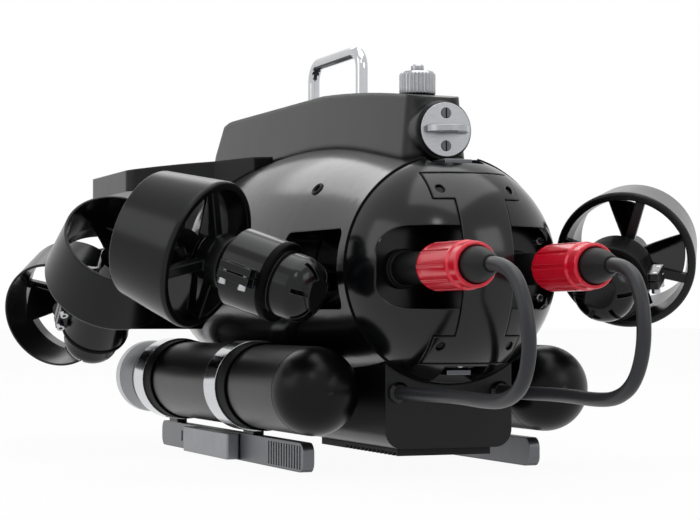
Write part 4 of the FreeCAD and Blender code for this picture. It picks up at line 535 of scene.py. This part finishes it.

# a black rubber grommet in the mouth of each drain hole, whose black widens the hole's dark mouth as painted
# shade; it stands square to the hull, which is felt at four places around the hole
drainGrommetShade = {"Radius": 4.1, "Half Width": 1.4, "Half Height": 1.1, "y": -134.0, "centreZ": 138.0,
                "angle": 40.0, "around": 7.0, "feelFrom": 200.0, "steps": 40, "profileSteps": 14}
hullShape = bmesh.new()
hullShape.from_mesh(nodes["main_fairing"].data)
hullTree = BVHTree.FromBMesh(hullShape)
hullShape.free()
core = Vector((0, drainGrommetShade["y"], drainGrommetShade["centreZ"])) * millimetre
tilt = math.radians(drainGrommetShade["angle"])
grommetShadePlaces, grommetShadeAxes = [], []
for side in (-1, 1):
    out = Vector((side * math.cos(tilt), 0, math.sin(tilt)))
    across = out.cross(Vector((0, 1, 0)))
    places, normals = [], []
    for shift in (Vector((0, 1, 0)), Vector((0, -1, 0)), across, -across):
        origin = core + (out * drainGrommetShade["feelFrom"] + shift * drainGrommetShade["around"]) * millimetre
        place, normal, face, reach = hullTree.ray_cast(origin, -out)
        places.append(place)
        normals.append(normal)
    grommetShadePlaces.append(sum(places, Vector()) / len(places))
    grommetShadeAxes.append(sum(normals, Vector()).normalized())
print("grommet shades at", [[round(value / millimetre, 1) for value in place] for place in grommetShadePlaces])
grommetShadeTree = ringTree("grommetShadeRings", materials["black_rubber"], drainGrommetShade)
addPiece(bakeTree("drain_grommet_shades", grommetShadeTree, drainGrommetShade, grommetShadePlaces, axes=grommetShadeAxes))


# stage
def seenRays(tree):
    # 1 for the rays that show the background itself: straight to the lens, off gloss or through glass
    rays = addNode(tree, "ShaderNodeLightPath")
    first = addNode(tree, "ShaderNodeMath", {
        0: rays.outputs["Is Camera Ray"], 1: rays.outputs["Is Glossy Ray"]}, operation="MAXIMUM")
    both = addNode(tree, "ShaderNodeMath", {0: first.outputs[0], 1: rays.outputs["Is Transmission Ray"]},
                   operation="MAXIMUM")
    return both.outputs[0]


# a long lens, low down, astern and to port; on the stage places and sizes are in metres
studioCamera = {"lens": 100.64, "sensor": 36, "place": (-0.5398, -1.3898, 0.1013), "tilt": 91.764,
                "turn": -21.720, "near": 0.01, "far": 50}
scene = bpy.context.scene
scene.view_settings.view_transform = "Standard"
cameraData = bpy.data.cameras.new("studioCamera")
cameraData.sensor_width = studioCamera["sensor"]
cameraData.lens = studioCamera["lens"]
cameraData.clip_start = studioCamera["near"]
cameraData.clip_end = studioCamera["far"]
camera = bpy.data.objects.new("studioCamera", cameraData)
camera.location = studioCamera["place"]
camera.rotation_euler = (math.radians(studioCamera["tilt"]), 0, math.radians(studioCamera["turn"]))
scene.collection.objects.link(camera)
scene.camera = camera

# plaster board, painted matt white: it shows white by its own glow, and keeps a soft shadow
paintedFloor = {"size": 40.0, "below": 0.0005, "colour": "#f2f2f2", "patch": "#f8f8f8", "perMetre": 3.0,
                "roughness": 0.7, "glow": 0.95}
floorMaterial, floorTree = newMaterial("PaintedStudioFloor")
floorNoise = addNode(floorTree, "ShaderNodeTexNoise", {
    "Vector": objectSpace(floorTree), "Scale": paintedFloor["perMetre"], "Detail": 3.0})
floorTone = addNode(floorTree, "ShaderNodeMix", {
    factorIn: floorNoise.outputs["Fac"], firstIn: linear(paintedFloor["colour"]),
    secondIn: linear(paintedFloor["patch"])}, data_type="RGBA")
floorShader = addNode(floorTree, "ShaderNodeBsdfPrincipled", {
    "Base Color": floorTone.outputs[colourOut], "Roughness": paintedFloor["roughness"]})
floorGlow = addNode(floorTree, "ShaderNodeEmission", {"Strength": 1.0})
floorShare = addNode(floorTree, "ShaderNodeMath", {0: seenRays(floorTree), 1: paintedFloor["glow"]},
                     operation="MULTIPLY")
floorMix = addNode(floorTree, "ShaderNodeMixShader", {
    0: floorShare.outputs[0], 1: floorShader.outputs[0], 2: floorGlow.outputs[0]})
addNode(floorTree, "ShaderNodeOutputMaterial", {"Surface": floorMix.outputs[0]})
half = paintedFloor["size"] / 2
floorMesh = bpy.data.meshes.new("studioFloor")
floorMesh.from_pydata([(-half, -half, 0), (half, -half, 0), (half, half, 0), (-half, half, 0)], [],
                      [(0, 1, 2, 3)])
floorMesh.materials.append(floorMaterial)
floor = bpy.data.objects.new("studioFloor", floorMesh)
floor.location.z = -paintedFloor["below"]
scene.collection.objects.link(floor)

# a white surround that lights the object at a fraction of what the lens sees
studioWorld = {"light": 0.30, "shown": 1.0, "colour": (1, 1, 1, 1)}
world = bpy.data.worlds.new("studioWorld")
scene.world = world
world.use_nodes = True
worldTree = world.node_tree
worldTree.nodes.clear()
dim, bright = (addNode(worldTree, "ShaderNodeBackground", {
    "Color": studioWorld["colour"], "Strength": studioWorld[use]}) for use in ("light", "shown"))
worldMix = addNode(worldTree, "ShaderNodeMixShader", {
    0: seenRays(worldTree), 1: dim.outputs[0], 2: bright.outputs[0]})
addNode(worldTree, "ShaderNodeOutputWorld", {"Surface": worldMix.outputs[0]})

# softboxes: place, aim, width, height and watts; sparkBox is small, for sharp glints
softboxes = {
    "overheadBox": ((0.2, -0.2, 2.2), (0, 0, 0.15), 2.4, 1.8, 26),
    "portBox": ((-2.3, -0.2, 1.2), (0, 0, 0.15), 1.4, 1.4, 9),
    "sternBox": ((1.2, -2.4, 1.3), (0, -0.1, 0.15), 1.2, 1.0, 9),
    "sparkBox": ((-1.0, -2.0, 2.0), (0, -0.1, 0.15), 0.3, 0.6, 5),
    "bowBox": ((0.4, 2.1, 1.8), (0, 0, 0.15), 2.2, 0.9, 9),
}
for name, (place, aim, width, height, watts) in softboxes.items():
    light = bpy.data.lights.new(name, "AREA")
    light.shape = "RECTANGLE"
    light.size = width
    light.size_y = height
    light.energy = watts
    lamp = bpy.data.objects.new(name, light)
    lamp.location = place
    lamp.rotation_euler = (Vector(aim) - Vector(place)).to_track_quat("-Z", "Y").to_euler()
    scene.collection.objects.link(lamp)
print("stage set")
